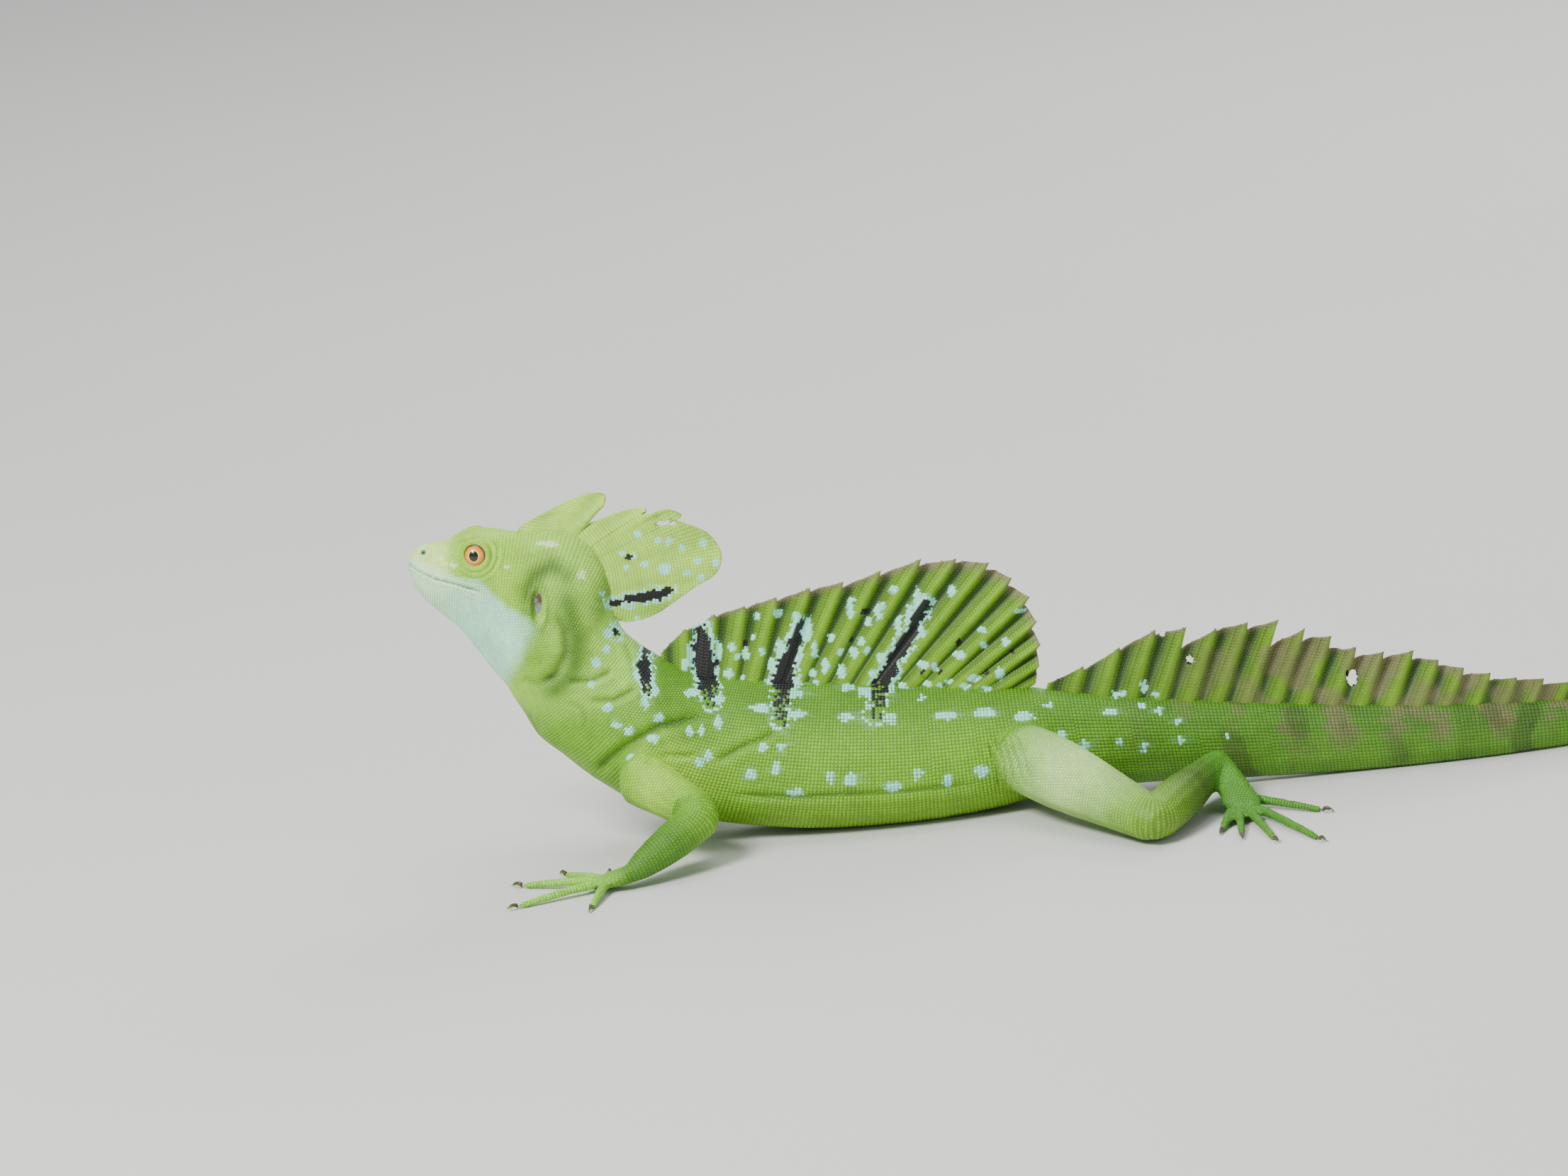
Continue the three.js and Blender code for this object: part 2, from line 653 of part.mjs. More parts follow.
for (const [word, { shoulder, elbow, wrist, palm, points }] of Object.entries(ARMS)) {
  const mirror = word === "left" ? 1 : -1;
  const upperShares = [[0, 9, 11], [0.5, 7.4, 8.2], [1.1, 6.2, 6.4]];
  const foreShares = [[-0.12, 6, 6.2], [0.4, 6.6, 6.4], [1.08, 3.8, 3.4]];
  const soleShares = [[-0.3, 3.6, 3.2], [0.6, 5.2, 2.8], [1.4, 4.8, 2.1]];
  const upperArm = roundTube(between(shoulder, elbow, upperShares), 12, 8);
  const forearm = roundTube(between(elbow, wrist, foreShares), 12, 8);
  const sole = roundTube(between(wrist, palm, soleShares), 10, 6);
  const starts = (i, direction) => [
    palm[0] + Math.cos(direction) * PALM_REACH,
    palm[1] + Math.sin(direction) * PALM_REACH,
  ];
  const hand = handOrFoot(sole, starts, HAND_DIGITS, points, mirror);
  const arm = clearOf(onFloor(upperArm.add(forearm).add(hand)), [bodyAndGap.torso, bodyAndGap.neck]);
  partedLimb(arm, [shoulder, elbow, wrist, palm], ["upper_arm", "forearm", "hand"], word);
}

// Where a toe leaves the foot: share of the way from the ankle, and offset across in half widths.
const TOE_STARTS = [[1, -0.9], [1, -0.45], [1, 0], [1, 0.5], [0.5, 0.4]];

for (const [word, { hip, knee, ankle, ball: ballOfFoot, points }] of Object.entries(LEGS)) {
  const mirror = word === "left" ? 1 : -1;
  const thighShares = [[-0.05, 11, 12], [0.35, 11, 11.5], [0.7, 9, 9.2], [1.08, 6.8, 6.6]];
  const shankShares = [[-0.1, 6.4, 6.6], [0.35, 7.6, 7.8], [0.75, 5.6, 6], [1.06, 4.6, 4.8]];
  const soleShares = [[-0.12, 4, 4.4], [0.4, 5.2, 3.6], [1.15, 7, 2.3]];
  const thigh = roundTube(between(hip, knee, thighShares), 14, 10);
  const shank = roundTube(between(knee, ankle, shankShares), 12, 9);
  const sole = roundTube(between(ankle, ballOfFoot, soleShares), 12, 7);
  const starts = (i) => {
    const across = (points + 90 * mirror) * DEGREE;
    const [along, aside] = TOE_STARTS[i];
    const [x, y] = mix(ankle, ballOfFoot, along);
    return [x + Math.cos(across) * aside * SOLE_WIDTH, y + Math.sin(across) * aside * SOLE_WIDTH];
  };
  const foot = handOrFoot(sole, starts, FOOT_DIGITS, points, mirror);
  const leg = clearOf(onFloor(thigh.add(shank).add(foot)), [bodyAndGap.torso, bodyAndGap.tail]);
  partedLimb(leg, [hip, knee, ankle, ballOfFoot], ["thigh", "shank", "foot"], word);
}

// Builds the meshes, with the whole animal centred over the origin.
const materials = { eye_left: IRIS, eye_right: IRIS, head: THROAT_SKIN, neck: THROAT_SKIN };
const basilisk = new THREE.Group();
for (const [name, part] of parts) {
  const { vertProperties, triVerts } = part.getMesh();
  const geometry = new THREE.BufferGeometry();
  geometry.setAttribute("position", new THREE.BufferAttribute(new Float32Array(vertProperties), 3));
  geometry.setIndex(new THREE.BufferAttribute(new Uint32Array(triVerts), 1));
  if (name.startsWith("tail")) {
    const position = geometry.getAttribute("position");
    for (let i = 0; i < position.count; i++) {
      const bent = bend(new THREE.Vector3().fromBufferAttribute(position, i));
      position.setXYZ(i, bent.x, bent.y, bent.z);
    }
  }
  geometry.computeVertexNormals();
  const material = materials[name] ?? (name.includes("crest") ? CREST_SKIN : SKIN);
  const mesh = new THREE.Mesh(geometry, material);
  mesh.name = name;
  basilisk.add(mesh);
}
const box = new THREE.Box3().setFromObject(basilisk);
const centre = box.getCenter(new THREE.Vector3());
for (const mesh of basilisk.children) mesh.geometry.translate(-centre.x, -centre.y, -box.min.z);

export default basilisk;
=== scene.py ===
"""Green basilisk, an adult male, as a still life-size model on a plain studio floor."""

import itertools
import math

import bmesh
import bpy
import numpy as np
from mathutils import Matrix, Vector
from mathutils.bvhtree import BVHTree


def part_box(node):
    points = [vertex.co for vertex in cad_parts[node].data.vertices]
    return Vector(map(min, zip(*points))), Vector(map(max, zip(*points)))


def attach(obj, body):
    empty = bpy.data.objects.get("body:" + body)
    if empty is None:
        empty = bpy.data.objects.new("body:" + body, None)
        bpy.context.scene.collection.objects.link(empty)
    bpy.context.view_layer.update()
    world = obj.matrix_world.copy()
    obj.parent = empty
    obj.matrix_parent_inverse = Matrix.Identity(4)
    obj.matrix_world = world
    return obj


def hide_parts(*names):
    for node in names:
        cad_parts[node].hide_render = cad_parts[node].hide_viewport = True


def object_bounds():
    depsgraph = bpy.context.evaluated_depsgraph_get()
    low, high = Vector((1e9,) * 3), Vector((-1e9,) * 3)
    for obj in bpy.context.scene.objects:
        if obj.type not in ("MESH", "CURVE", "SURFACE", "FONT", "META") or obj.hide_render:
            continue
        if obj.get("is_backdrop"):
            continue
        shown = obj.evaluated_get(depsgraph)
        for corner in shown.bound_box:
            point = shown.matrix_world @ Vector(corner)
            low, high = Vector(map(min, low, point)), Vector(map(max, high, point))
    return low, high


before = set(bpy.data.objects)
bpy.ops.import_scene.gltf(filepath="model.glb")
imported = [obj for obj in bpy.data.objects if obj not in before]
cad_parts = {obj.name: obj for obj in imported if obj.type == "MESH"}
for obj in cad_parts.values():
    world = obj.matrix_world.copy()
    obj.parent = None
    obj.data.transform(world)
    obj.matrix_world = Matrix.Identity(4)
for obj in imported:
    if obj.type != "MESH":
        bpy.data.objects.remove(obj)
cad_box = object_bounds()

# Studio: a long lens that looks down on the left side by 14 degrees, rolled as the photograph is, a
# pale floor that carries the animal, and soft lights. Lengths are measured from the point on the
# floor below the middle of the back, which hangs from the left eye.
PHOTO_WIDTH = 2212
PHOTO_HEIGHT = 1659
METRES_PER_PIXEL = 0.000226
CAMERA_DISTANCE = 3.0
CAMERA_ELEVATION = math.radians(14.0)
CAMERA_ROLL = math.radians(-5.8)
SENSOR_WIDTH = 36.0
EYE_CENTRE = Vector((-0.1133, -0.0075, 0.1020))
PICTURE_CENTRE = Vector((-0.0173, 0.0, 0.0790))

eye_low, eye_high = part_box("eye_left")
middle = (eye_low + eye_high) / 2 - EYE_CENTRE
middle.z = 0.0
origin = np.array(middle)

camera_data = bpy.data.cameras.new("camera")
camera_data.sensor_width = SENSOR_WIDTH
camera_data.lens = SENSOR_WIDTH * CAMERA_DISTANCE / (PHOTO_WIDTH * METRES_PER_PIXEL)
camera_data.clip_end = 60.0
camera = bpy.data.objects.new("camera", camera_data)
bpy.context.scene.collection.objects.link(camera)
towards_camera = Vector((0.0, -math.cos(CAMERA_ELEVATION), math.sin(CAMERA_ELEVATION)))
facing = towards_camera.to_track_quat("Z", "Y").to_matrix().to_4x4()
camera_place = middle + PICTURE_CENTRE + towards_camera * CAMERA_DISTANCE
camera.matrix_world = Matrix.Translation(camera_place) @ facing @ Matrix.Rotation(CAMERA_ROLL, 4, "Z")
bpy.context.scene.camera = camera


def object_from(shape, name):
    """An object in the scene with a built shape as its mesh."""
    mesh = bpy.data.meshes.new(name)
    shape.to_mesh(mesh)
    shape.free()
    piece = bpy.data.objects.new(name, mesh)
    bpy.context.scene.collection.objects.link(piece)
    return piece


def srgb(red, green, blue):
    """A colour as it looks on a screen, 0 to 255, as the linear values that shaders take."""
    values = [c / 255 for c in (red, green, blue)]
    return [c / 12.92 if c <= 0.04045 else ((c + 0.055) / 1.055) ** 2.4 for c in values]


def new_material(name, roughness):
    """A new material with its node tree and its shader."""
    material = bpy.data.materials.new(name)
    material.use_nodes = True
    shader = material.node_tree.nodes["Principled BSDF"]
    shader.inputs["Roughness"].default_value = roughness
    return material, material.node_tree, shader


def node(tree, kind, given, **settings):
    """A shader node with its settings; each input is given a value, or a socket to link to."""
    made = tree.nodes.new(f"ShaderNode{kind}")
    for name, value in settings.items():
        setattr(made, name, value)
    for key, value in given.items():
        if isinstance(value, bpy.types.NodeSocket):
            tree.links.new(value, made.inputs[key])
        else:
            made.inputs[key].default_value = value
    return made


def two_toned(name, roughness, scale, tones):
    """A material whose colour wanders between two tones."""
    material, tree, shader = new_material(name, roughness)
    place = node(tree, "TexCoord", {}).outputs["Object"]
    noise = node(tree, "TexNoise", {"Vector": place, "Scale": scale}).outputs["Fac"]
    first, second = [(*srgb(*tone), 1) for tone in tones]
    mix = node(tree, "Mix", {"Factor": noise, "A": first, "B": second}, data_type="RGBA")
    tree.links.new(mix.outputs["Result"], shader.inputs["Base Color"])
    return material


FLOOR_SIZE = 40.0
FLOOR_TONES = [(206, 205, 201), (214, 213, 209)]
floor_shape = bmesh.new()
bmesh.ops.create_grid(floor_shape, x_segments=1, y_segments=1, size=FLOOR_SIZE / 2)
floor = object_from(floor_shape, "floor")
floor.data.materials.append(two_toned("floor", 0.75, 3.0, FLOOR_TONES))
floor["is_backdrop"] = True

# Lights, as name, place, width in metres and watts.
STUDIO_LIGHTS = [
    ("key", (-0.9, -1.1, 1.5), 0.6, 54.0),
    ("fill", (1.3, -1.3, 0.6), 1.2, 5.0),
    ("top", (0.1, 0.3, 1.8), 1.2, 14.0),
    ("rim", (0.6, 1.3, 1.0), 0.8, 12.0),
]
for name, place, width, watts in STUDIO_LIGHTS:
    light = bpy.data.lights.new(name, "AREA")
    light.size = width
    light.energy = watts
    lamp = bpy.data.objects.new(name, light)
    lamp.location = middle + Vector(place)
    aim = middle + Vector((0, 0, 0.05)) - lamp.location
    lamp.rotation_euler = aim.to_track_quat("-Z", "Y").to_euler()
    bpy.context.scene.collection.objects.link(lamp)
world = bpy.data.worlds.new("studio")
world.use_nodes = True
world.node_tree.nodes["Background"].inputs["Color"].default_value = (0.88, 0.92, 0.95, 1)
world.node_tree.nodes["Background"].inputs["Strength"].default_value = 0.5
bpy.context.scene.world = world

# Skin: the living hide over head, body, tail and limbs, one soft surface with no seam. The flesh
# solids, with eyelids and the thick foot of the head crest, are swelled until they meet, remeshed as
# one, smoothed, sunk by the depth of the scales, and creased where the real hide folds.
VOXEL = 0.00062
CORE_VOXEL = 0.0011
SWELL = 0.00028
SCALE_DEPTH = 0.00020
LIMB_PARTS = {"arm": ("upper_arm", "forearm", "hand"), "leg": ("thigh", "shank", "foot")}
SIDES = {"left": -1, "right": 1}
CORE_NODES = ["head", "neck", "torso"] + [f"tail_{i}" for i in range(1, 6)]
LIMB_NODES = [f"{part}_{side}" for side in SIDES for limb in LIMB_PARTS.values() for part in limb]

EYE_RADIUS = 0.0046
LID_RADIUS = 0.0044
LID_THICKNESS = 0.00105
LID_FORWARD = 0.0026
SOCKET_FILL = 0.0043

# The back line, x and z, and the tail's swing away from the left side and back, over x.
BACK_LINE = [
    (-0.0695, 0.0710), (-0.0645, 0.0655), (-0.0595, 0.0615), (-0.0535, 0.0572), (-0.0465, 0.0540),
    (-0.0370, 0.0520), (-0.0250, 0.0500), (-0.0090, 0.0480), (0.0080, 0.0456), (0.0250, 0.0432),
    (0.0420, 0.0406), (0.0570, 0.0384), (0.0760, 0.0350), (0.1000, 0.0310), (0.1300, 0.0270),
    (0.1650, 0.0225), (0.2050, 0.0180), (0.2550, 0.0138), (0.3100, 0.0108), (0.3700, 0.0082),
    (0.4350, 0.0060), (0.5000, 0.0044), (0.5550, 0.0031), (0.5920, 0.0022),
]
HALF_WIDTHS = [
    (-0.135, 0.003), (-0.115, 0.011), (-0.090, 0.0144), (-0.060, 0.0150), (-0.037, 0.0186), (0.0, 0.0218),
    (0.025, 0.0206), (0.042, 0.0174), (0.057, 0.0136), (0.076, 0.0110), (0.130, 0.0080), (0.205, 0.0056),
    (0.310, 0.0040), (0.435, 0.0026), (0.592, 0.0010),
]
TAIL_SWING = (0.165, 0.310, math.radians(30))
TAIL_RETURN = (0.320, 0.560, math.radians(-58))
BEND_STEP = 0.0005

# The head crest behind the casque: its root and its margin in the middle plane, x and z.
REAR_CREST_ROOT = [
    (-0.0850, 0.1010), (-0.0820, 0.0965), (-0.0800, 0.0905), (-0.0795, 0.0840), (-0.0800, 0.0775),
]
REAR_CREST_MARGIN = [
    (-0.0800, 0.1052), (-0.0740, 0.1070), (-0.0670, 0.1090), (-0.0595, 0.1096), (-0.0560, 0.1080),
    (-0.0505, 0.1082), (-0.0440, 0.1036), (-0.0384, 0.0976), (-0.0360, 0.0918), (-0.0384, 0.0862),
    (-0.0450, 0.0826), (-0.0520, 0.0786), (-0.0585, 0.0748), (-0.0650, 0.0732), (-0.0710, 0.0742),
    (-0.0750, 0.0760),
]
REAR_CREST_TIPS = (0.225, 0.37)
REAR_CREST_DIP = 0.09
REAR_CREST_DIP_LENGTH = 0.07
REAR_CREST_ROOT_HALF = 0.0034
CREST_MARGIN_HALF = 0.00042
CREST_FOOT = 0.36


def rise(low, high, value):
    """0 at `low`, 1 at `high`, smooth between."""
    share = np.clip((value - low) / (high - low), 0, 1)
    return share * share * (3 - 2 * share)


def bell(distance, spread):
    """1 at no distance, falling off to nothing over about twice the spread."""
    return np.exp(-((distance / spread) ** 2))


def along_line(line, x):
    """The second coordinate of a bent line at x."""
    return np.interp(x, [point[0] for point in line], [point[1] for point in line])


def heading(x):
    """Direction of the tail in plan, in radians."""
    (swing_from, swing_to, swing), (back_from, back_to, back) = TAIL_SWING, TAIL_RETURN
    return swing * rise(swing_from, swing_to, x) + back * rise(back_from, back_to, x)


tail_steps = np.arange(TAIL_SWING[0], 0.600, BEND_STEP)
step_headings = heading(tail_steps[:-1] + BEND_STEP / 2)
tail_x = TAIL_SWING[0] + np.concatenate([[0], np.cumsum(np.cos(step_headings) * BEND_STEP)])
tail_y = np.concatenate([[0], np.cumsum(np.sin(step_headings) * BEND_STEP)])


def bent(places):
    """Points of the straight body, moved with the swing of the tail."""
    x, y = places[:, 0], places[:, 1]
    turn = heading(x)
    on_tail = x > TAIL_SWING[0]
    bent_x = np.where(on_tail, np.interp(x, tail_steps, tail_x) - np.sin(turn) * y, x)
    bent_y = np.where(on_tail, np.interp(x, tail_steps, tail_y) + np.cos(turn) * y, y)
    return np.stack([bent_x, bent_y, places[:, 2]], 1)


def walked_along(points):
    """Distance walked from the first point to each point of a line."""
    return np.concatenate([[0], np.cumsum(np.linalg.norm(np.diff(points, axis=0), axis=1))])


def through(points, share):
    """A smooth curve through points, at shares of the way along it."""
    points = np.array(points, float)
    last = len(points) - 1
    at = np.clip(share, 0, 1) * last
    i = np.minimum(at.astype(int), last - 1)
    t = (at - i)[:, None]
    before, start, end, after = (points[np.clip(i + step, 0, last)] for step in (-1, 0, 1, 2))
    return 0.5 * (
        2 * start
        + (end - before) * t
        + (2 * before - 5 * start + 4 * end - after) * t**2
        + (3 * start - before - 3 * end + after) * t**3
    )


def rear_crest(u, v):
    """Middle and half thickness of the rear head crest, from its root to its margin."""
    root = through(REAR_CREST_ROOT, u)
    reach = np.ones(len(u))
    for tip in REAR_CREST_TIPS:
        reach -= REAR_CREST_DIP * (u > tip) * np.clip(1 - (u - tip) / REAR_CREST_DIP_LENGTH, 0, 1)
    flat = root + (through(REAR_CREST_MARGIN, u) - root) * (v * reach)[:, None]
    ripple = (0.0006 * np.sin(u * 17) + 0.0004 * np.sin(u * 41)) * v**2
    half = CREST_MARGIN_HALF + (REAR_CREST_ROOT_HALF - CREST_MARGIN_HALF) * (1 - v) ** 1.8
    return np.stack([flat[:, 0], ripple, flat[:, 1]], 1), half


def applied(piece):
    """Replaces a piece's mesh by the one its modifiers make."""
    made = bpy.data.meshes.new_from_object(piece.evaluated_get(bpy.context.evaluated_depsgraph_get()))
    piece.modifiers.clear()
    old = piece.data
    piece.data = made
    bpy.data.meshes.remove(old)
    return piece


def sheet(name, columns, rows, blade, torn=()):
    """A closed blade of skin: a grid laid by blade(u, v) and thickened, less what is torn away."""
    shape = bmesh.new()
    share_u = shape.verts.layers.float.new("share_u")
    share_v = shape.verts.layers.float.new("share_v")
    weights = shape.verts.layers.deform.verify()
    bmesh.ops.create_grid(shape, x_segments=columns, y_segments=rows, size=0.5)
    flat = np.array([vertex.co[:2] for vertex in shape.verts]) + 0.5
    places, half = blade(flat[:, 0], flat[:, 1])
    for vertex, (u, v), place, thick in zip(shape.verts, flat, places + origin, half / half.max()):
        vertex.co = place
        vertex[share_u] = u
        vertex[share_v] = v
        vertex[weights][0] = thick
    if len(torn):
        centres = np.array([face.calc_center_median()[:] for face in shape.faces])
        lost = spotted(pixel(centres), torn, 0.0) > 0.5
        gone = [face for face, is_lost in zip(shape.faces, lost) if is_lost]
        bmesh.ops.delete(shape, geom=gone, context="FACES")
    piece = object_from(shape, name)
    piece.vertex_groups.new(name="thickness")
    walls = piece.modifiers.new("walls", "SOLIDIFY")
    walls.thickness = float(2 * half.max())
    walls.offset = 0.0
    walls.vertex_group = "thickness"
    applied(piece)
    piece.vertex_groups.clear()
    turned = bmesh.new()
    turned.from_mesh(piece.data)
    bmesh.ops.recalc_face_normals(turned, faces=turned.faces)
    turned.to_mesh(piece.data)
    turned.free()
    return piece


def remeshed(names, name, voxel, extras=()):
    """Copies CAD nodes into one body, swelled so that the gaps between them close."""
    shape = bmesh.new()
    for solid in names:
        shape.from_mesh(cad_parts[solid].data)
    bmesh.ops.remove_doubles(shape, verts=shape.verts, dist=1e-6)
    shape.normal_update()
    for vertex in shape.verts:
        vertex.co += vertex.normal * SWELL
    for extra in extras:
        shape.from_mesh(extra.data)
        bpy.data.objects.remove(extra)
    piece = object_from(shape, name)
    remesh = piece.modifiers.new("remesh", "REMESH")
    remesh.mode = "VOXEL"
    remesh.voxel_size = voxel
    return applied(piece)


def gaze_of(side):
    """Direction in which the eye on a side looks."""
    return Vector((-0.2, side, 0.12)).normalized()


def eye_centre(side):
    return middle + Vector((EYE_CENTRE.x, -side * EYE_CENTRE.y, EYE_CENTRE.z))


def eyelids(side):
    """A ring of flesh round the eye, and the flesh that fills the socket behind it."""
    shape = bmesh.new()
    made = bmesh.ops.create_circle(shape, segments=10, radius=LID_THICKNESS)
    bmesh.ops.rotate(shape, verts=made["verts"], matrix=Matrix.Rotation(math.pi / 2, 3, "X"))
    bmesh.ops.translate(shape, verts=made["verts"], vec=(LID_RADIUS, 0, LID_FORWARD))
    bmesh.ops.spin(
        shape,
        geom=shape.verts[:] + shape.edges[:],
        axis=(0, 0, 1),
        cent=(0, 0, 0),
        steps=40,
        angle=2 * math.pi,
        use_merge=True,
    )
    bmesh.ops.recalc_face_normals(shape, faces=shape.faces)
    bmesh.ops.create_icosphere(shape, subdivisions=3, radius=SOCKET_FILL)
    turn = gaze_of(side).to_track_quat("Z", "Y").to_matrix().to_4x4()
    bmesh.ops.transform(shape, matrix=Matrix.Translation(eye_centre(side)) @ turn, verts=shape.verts)
    return object_from(shape, "eyelids")


def points_of(mesh):
    places = np.empty(len(mesh.vertices) * 3)
    mesh.vertices.foreach_get("co", places)
    return places.reshape(-1, 3)


def normals_of(mesh):
    normals = np.empty(len(mesh.vertices) * 3)
    mesh.vertex_normals.foreach_get("vector", normals)
    return normals.reshape(-1, 3)


def set_points(mesh, places):
    mesh.vertices.foreach_set("co", places.ravel())
    mesh.update()


def smoothed(places, edges, weight, rounds, back=0.0):
    """Moves each point towards the middle of its neighbours by its weight, and part of the way back."""
    ends = np.concatenate([edges[:, 0], edges[:, 1]])
    others = np.concatenate([edges[:, 1], edges[:, 0]])
    count = np.bincount(ends, minlength=len(places))
    for share in (1.0, -back) * rounds if back else (1.0,) * rounds:
        sums = [np.bincount(ends, places[others, axis], len(places)) for axis in range(3)]
        places = places + share * weight[:, None] * (np.stack(sums, 1) / count[:, None] - places)
    return places


def crest_foot(u, v):
    """The thick part of the rear head crest near its root, which the skin grows over."""
    places, half = rear_crest(u, v * CREST_FOOT)
    return places, half * (1 + 0.25 * (1 - v))


lids = [eyelids(side) for side in SIDES.values()]
foot_of_crest = sheet("crest_foot", 60, 24, crest_foot)
skin = remeshed(CORE_NODES + LIMB_NODES, "skin", VOXEL, [*lids, foot_of_crest])
places = points_of(skin.data)
edges = np.empty(len(skin.data.edges) * 2, np.int64)
skin.data.edges.foreach_get("vertices", edges)
edges = edges.reshape(-1, 2)

# Limbs grow out of the body here, x, distance from the middle plane, z and reach. The skin is evened
# out all over first, and then softened a little everywhere and more where a limb or the crest joins.
LIMB_ROOTS = [(-0.070, 0.015, 0.028, 0.016), (0.055, 0.014, 0.019, 0.018)]
EVEN_WEIGHT = 0.6
EVEN_BACK = 0.95
EVEN_ROUNDS = 10
SOFT_WEIGHT = 0.10
SOFT_AT_LIMBS = 0.75
SOFT_AT_CREST = 0.5
SOFT_AT_TRUNK = 0.35
SOFT_ROUNDS = 14
places = smoothed(places, edges, np.full(len(places), EVEN_WEIGHT), EVEN_ROUNDS, back=EVEN_BACK)
local = places - origin
weight = np.full(len(places), SOFT_WEIGHT)
from_side = np.abs(local[:, 1])
for x, aside, z, reach in LIMB_ROOTS:
    apart = np.linalg.norm(np.stack([local[:, 0] - x, from_side - aside, local[:, 2] - z], 1), axis=1)
    weight = np.maximum(weight, SOFT_AT_LIMBS * bell(apart, reach))
behind_casque = rise(-0.086, -0.076, local[:, 0]) * rise(0.070, 0.078, local[:, 2])
weight = np.maximum(weight, SOFT_AT_CREST * behind_casque)
trunk = rise(-0.100, -0.090, local[:, 0]) * rise(0.078, 0.070, local[:, 2])
weight = np.maximum(weight, SOFT_AT_TRUNK * trunk * rise(0.026, 0.020, from_side))
places = smoothed(places, edges, weight, SOFT_ROUNDS)
set_points(skin.data, places)
places = places - normals_of(skin.data) * (SWELL + SCALE_DEPTH)


def pixel(places):
    """Where points of the animal, mirrored to its left side, fall in the photograph, in its pixels."""
    mirrored = places.copy()
    centre = origin[1] + np.where(
        places[:, 0] - origin[0] > tail_x[0], np.interp(places[:, 0] - origin[0], tail_x, tail_y), 0
    )
    mirrored[:, 1] = centre - np.abs(places[:, 1] - centre)
    seen = np.array(camera.matrix_world.inverted())
    seen = mirrored @ seen[:3, :3].T + seen[:3, 3]
    zoom = camera_data.lens / SENSOR_WIDTH * PHOTO_WIDTH
    across = PHOTO_WIDTH / 2 - seen[:, 0] / seen[:, 2] * zoom
    down = PHOTO_HEIGHT / 2 + seen[:, 1] / seen[:, 2] * zoom
    return np.stack([across, down], 1)


def distance_to_line(where, line):
    """Distance of flat points to a bent line, and the share of the way along it, 0 to 1."""
    line = np.array(line, float)
    best = np.full(len(where), 1e9)
    share = np.zeros(len(where))
    for i, (start, end) in enumerate(zip(line, line[1:])):
        along = end - start
        t = np.clip(((where - start) @ along) / (along @ along), 0, 1)
        apart = np.linalg.norm(where - start - t[:, None] * along, axis=1)
        share = np.where(apart < best, (i + t) / (len(line) - 1), share)
        best = np.minimum(best, apart)
    return best, share


# Folds of the hide: depth and half width in metres, and a line in pixels of the photograph. A
# negative depth is a ridge.
MOUTH = [(577, 797), (590, 806), (612, 817), (640, 824), (659, 830), (675, 834)]
FOLDS = [
    (0.00050, 0.0030, [(748, 859), (746, 833), (758, 811), (780, 798), (798, 812)]),
    (0.00045, 0.0026, [(845, 770), (862, 800), (858, 836), (846, 858)]),
    (0.00100, 0.0016, [(782, 862), (796, 890), (799, 920), (784, 952), (762, 963)]),
    (0.00050, 0.0014, [(735, 957), (760, 965), (786, 953)]),
    (-0.00060, 0.0013, [(640, 765), (652, 755), (672, 748), (696, 750)]),
    (-0.00035, 0.0010, [(604, 771), (622, 768), (642, 764)]),
    (0.00075, 0.0010, [(800, 962), (836, 961), (867, 945)]),
    (0.00075, 0.0010, [(830, 989), (866, 988), (900, 970)]),
    (0.00040, 0.0009, [(802, 988), (822, 1003), (830, 1024)]),
    (0.00030, 0.0009, [(882, 905), (892, 936), (898, 962)]),
    (0.00110, 0.0016, [(838, 1091), (860, 1070), (884, 1052), (932, 1024), (1006, 1008)]),
    (0.00070, 0.0013, [(1006, 1076), (1052, 1051), (1098, 1033)]),
    (0.00050, 0.0010, [(905, 1078), (940, 1066), (985, 1066)]),
    (0.00045, 0.0010, [(742, 1000), (760, 1040), (788, 1072)]),
    (0.00065, 0.0011, [(1020, 1121), (1120, 1125), (1275, 1117), (1386, 1104)]),
    (0.00055, 0.0005, [(1404, 1040), (1414, 1075), (1420, 1112)]),
    (0.00055, 0.0005, [(1413, 1036), (1424, 1072), (1431, 1110)]),
    (0.00050, 0.0005, [(1422, 1032), (1434, 1070), (1442, 1106)]),
    (0.00045, 0.0005, [(1431, 1030), (1444, 1066), (1453, 1100)]),
    (0.00040, 0.0005, [(1394, 1046), (1404, 1080), (1410, 1112)]),
]
normals = normals_of(skin.data)
where = pixel(places)
facing_side = rise(0.1, 0.5, np.abs(normals[:, 1]))
for depth, half_width, line in FOLDS:
    apart, share = distance_to_line(where, line)
    apart = apart * METRES_PER_PIXEL
    fade = rise(0, 0.15, share) * rise(1, 0.85, share)
    beside = 0.35 * bell(apart - 2.2 * half_width, 1.2 * half_width)
    places -= normals * ((bell(apart, half_width) - beside) * depth * fade * facing_side)[:, None]
apart, share = distance_to_line(where, MOUTH)
lip = bell(apart * METRES_PER_PIXEL, 0.00038) - 0.3 * bell(apart * METRES_PER_PIXEL - 0.0010, 0.0006)
places -= normals * (lip * 0.0008 * rise(1.0, 0.92, share) * rise(0.0, 0.3, np.abs(normals[:, 1])))[:, None]

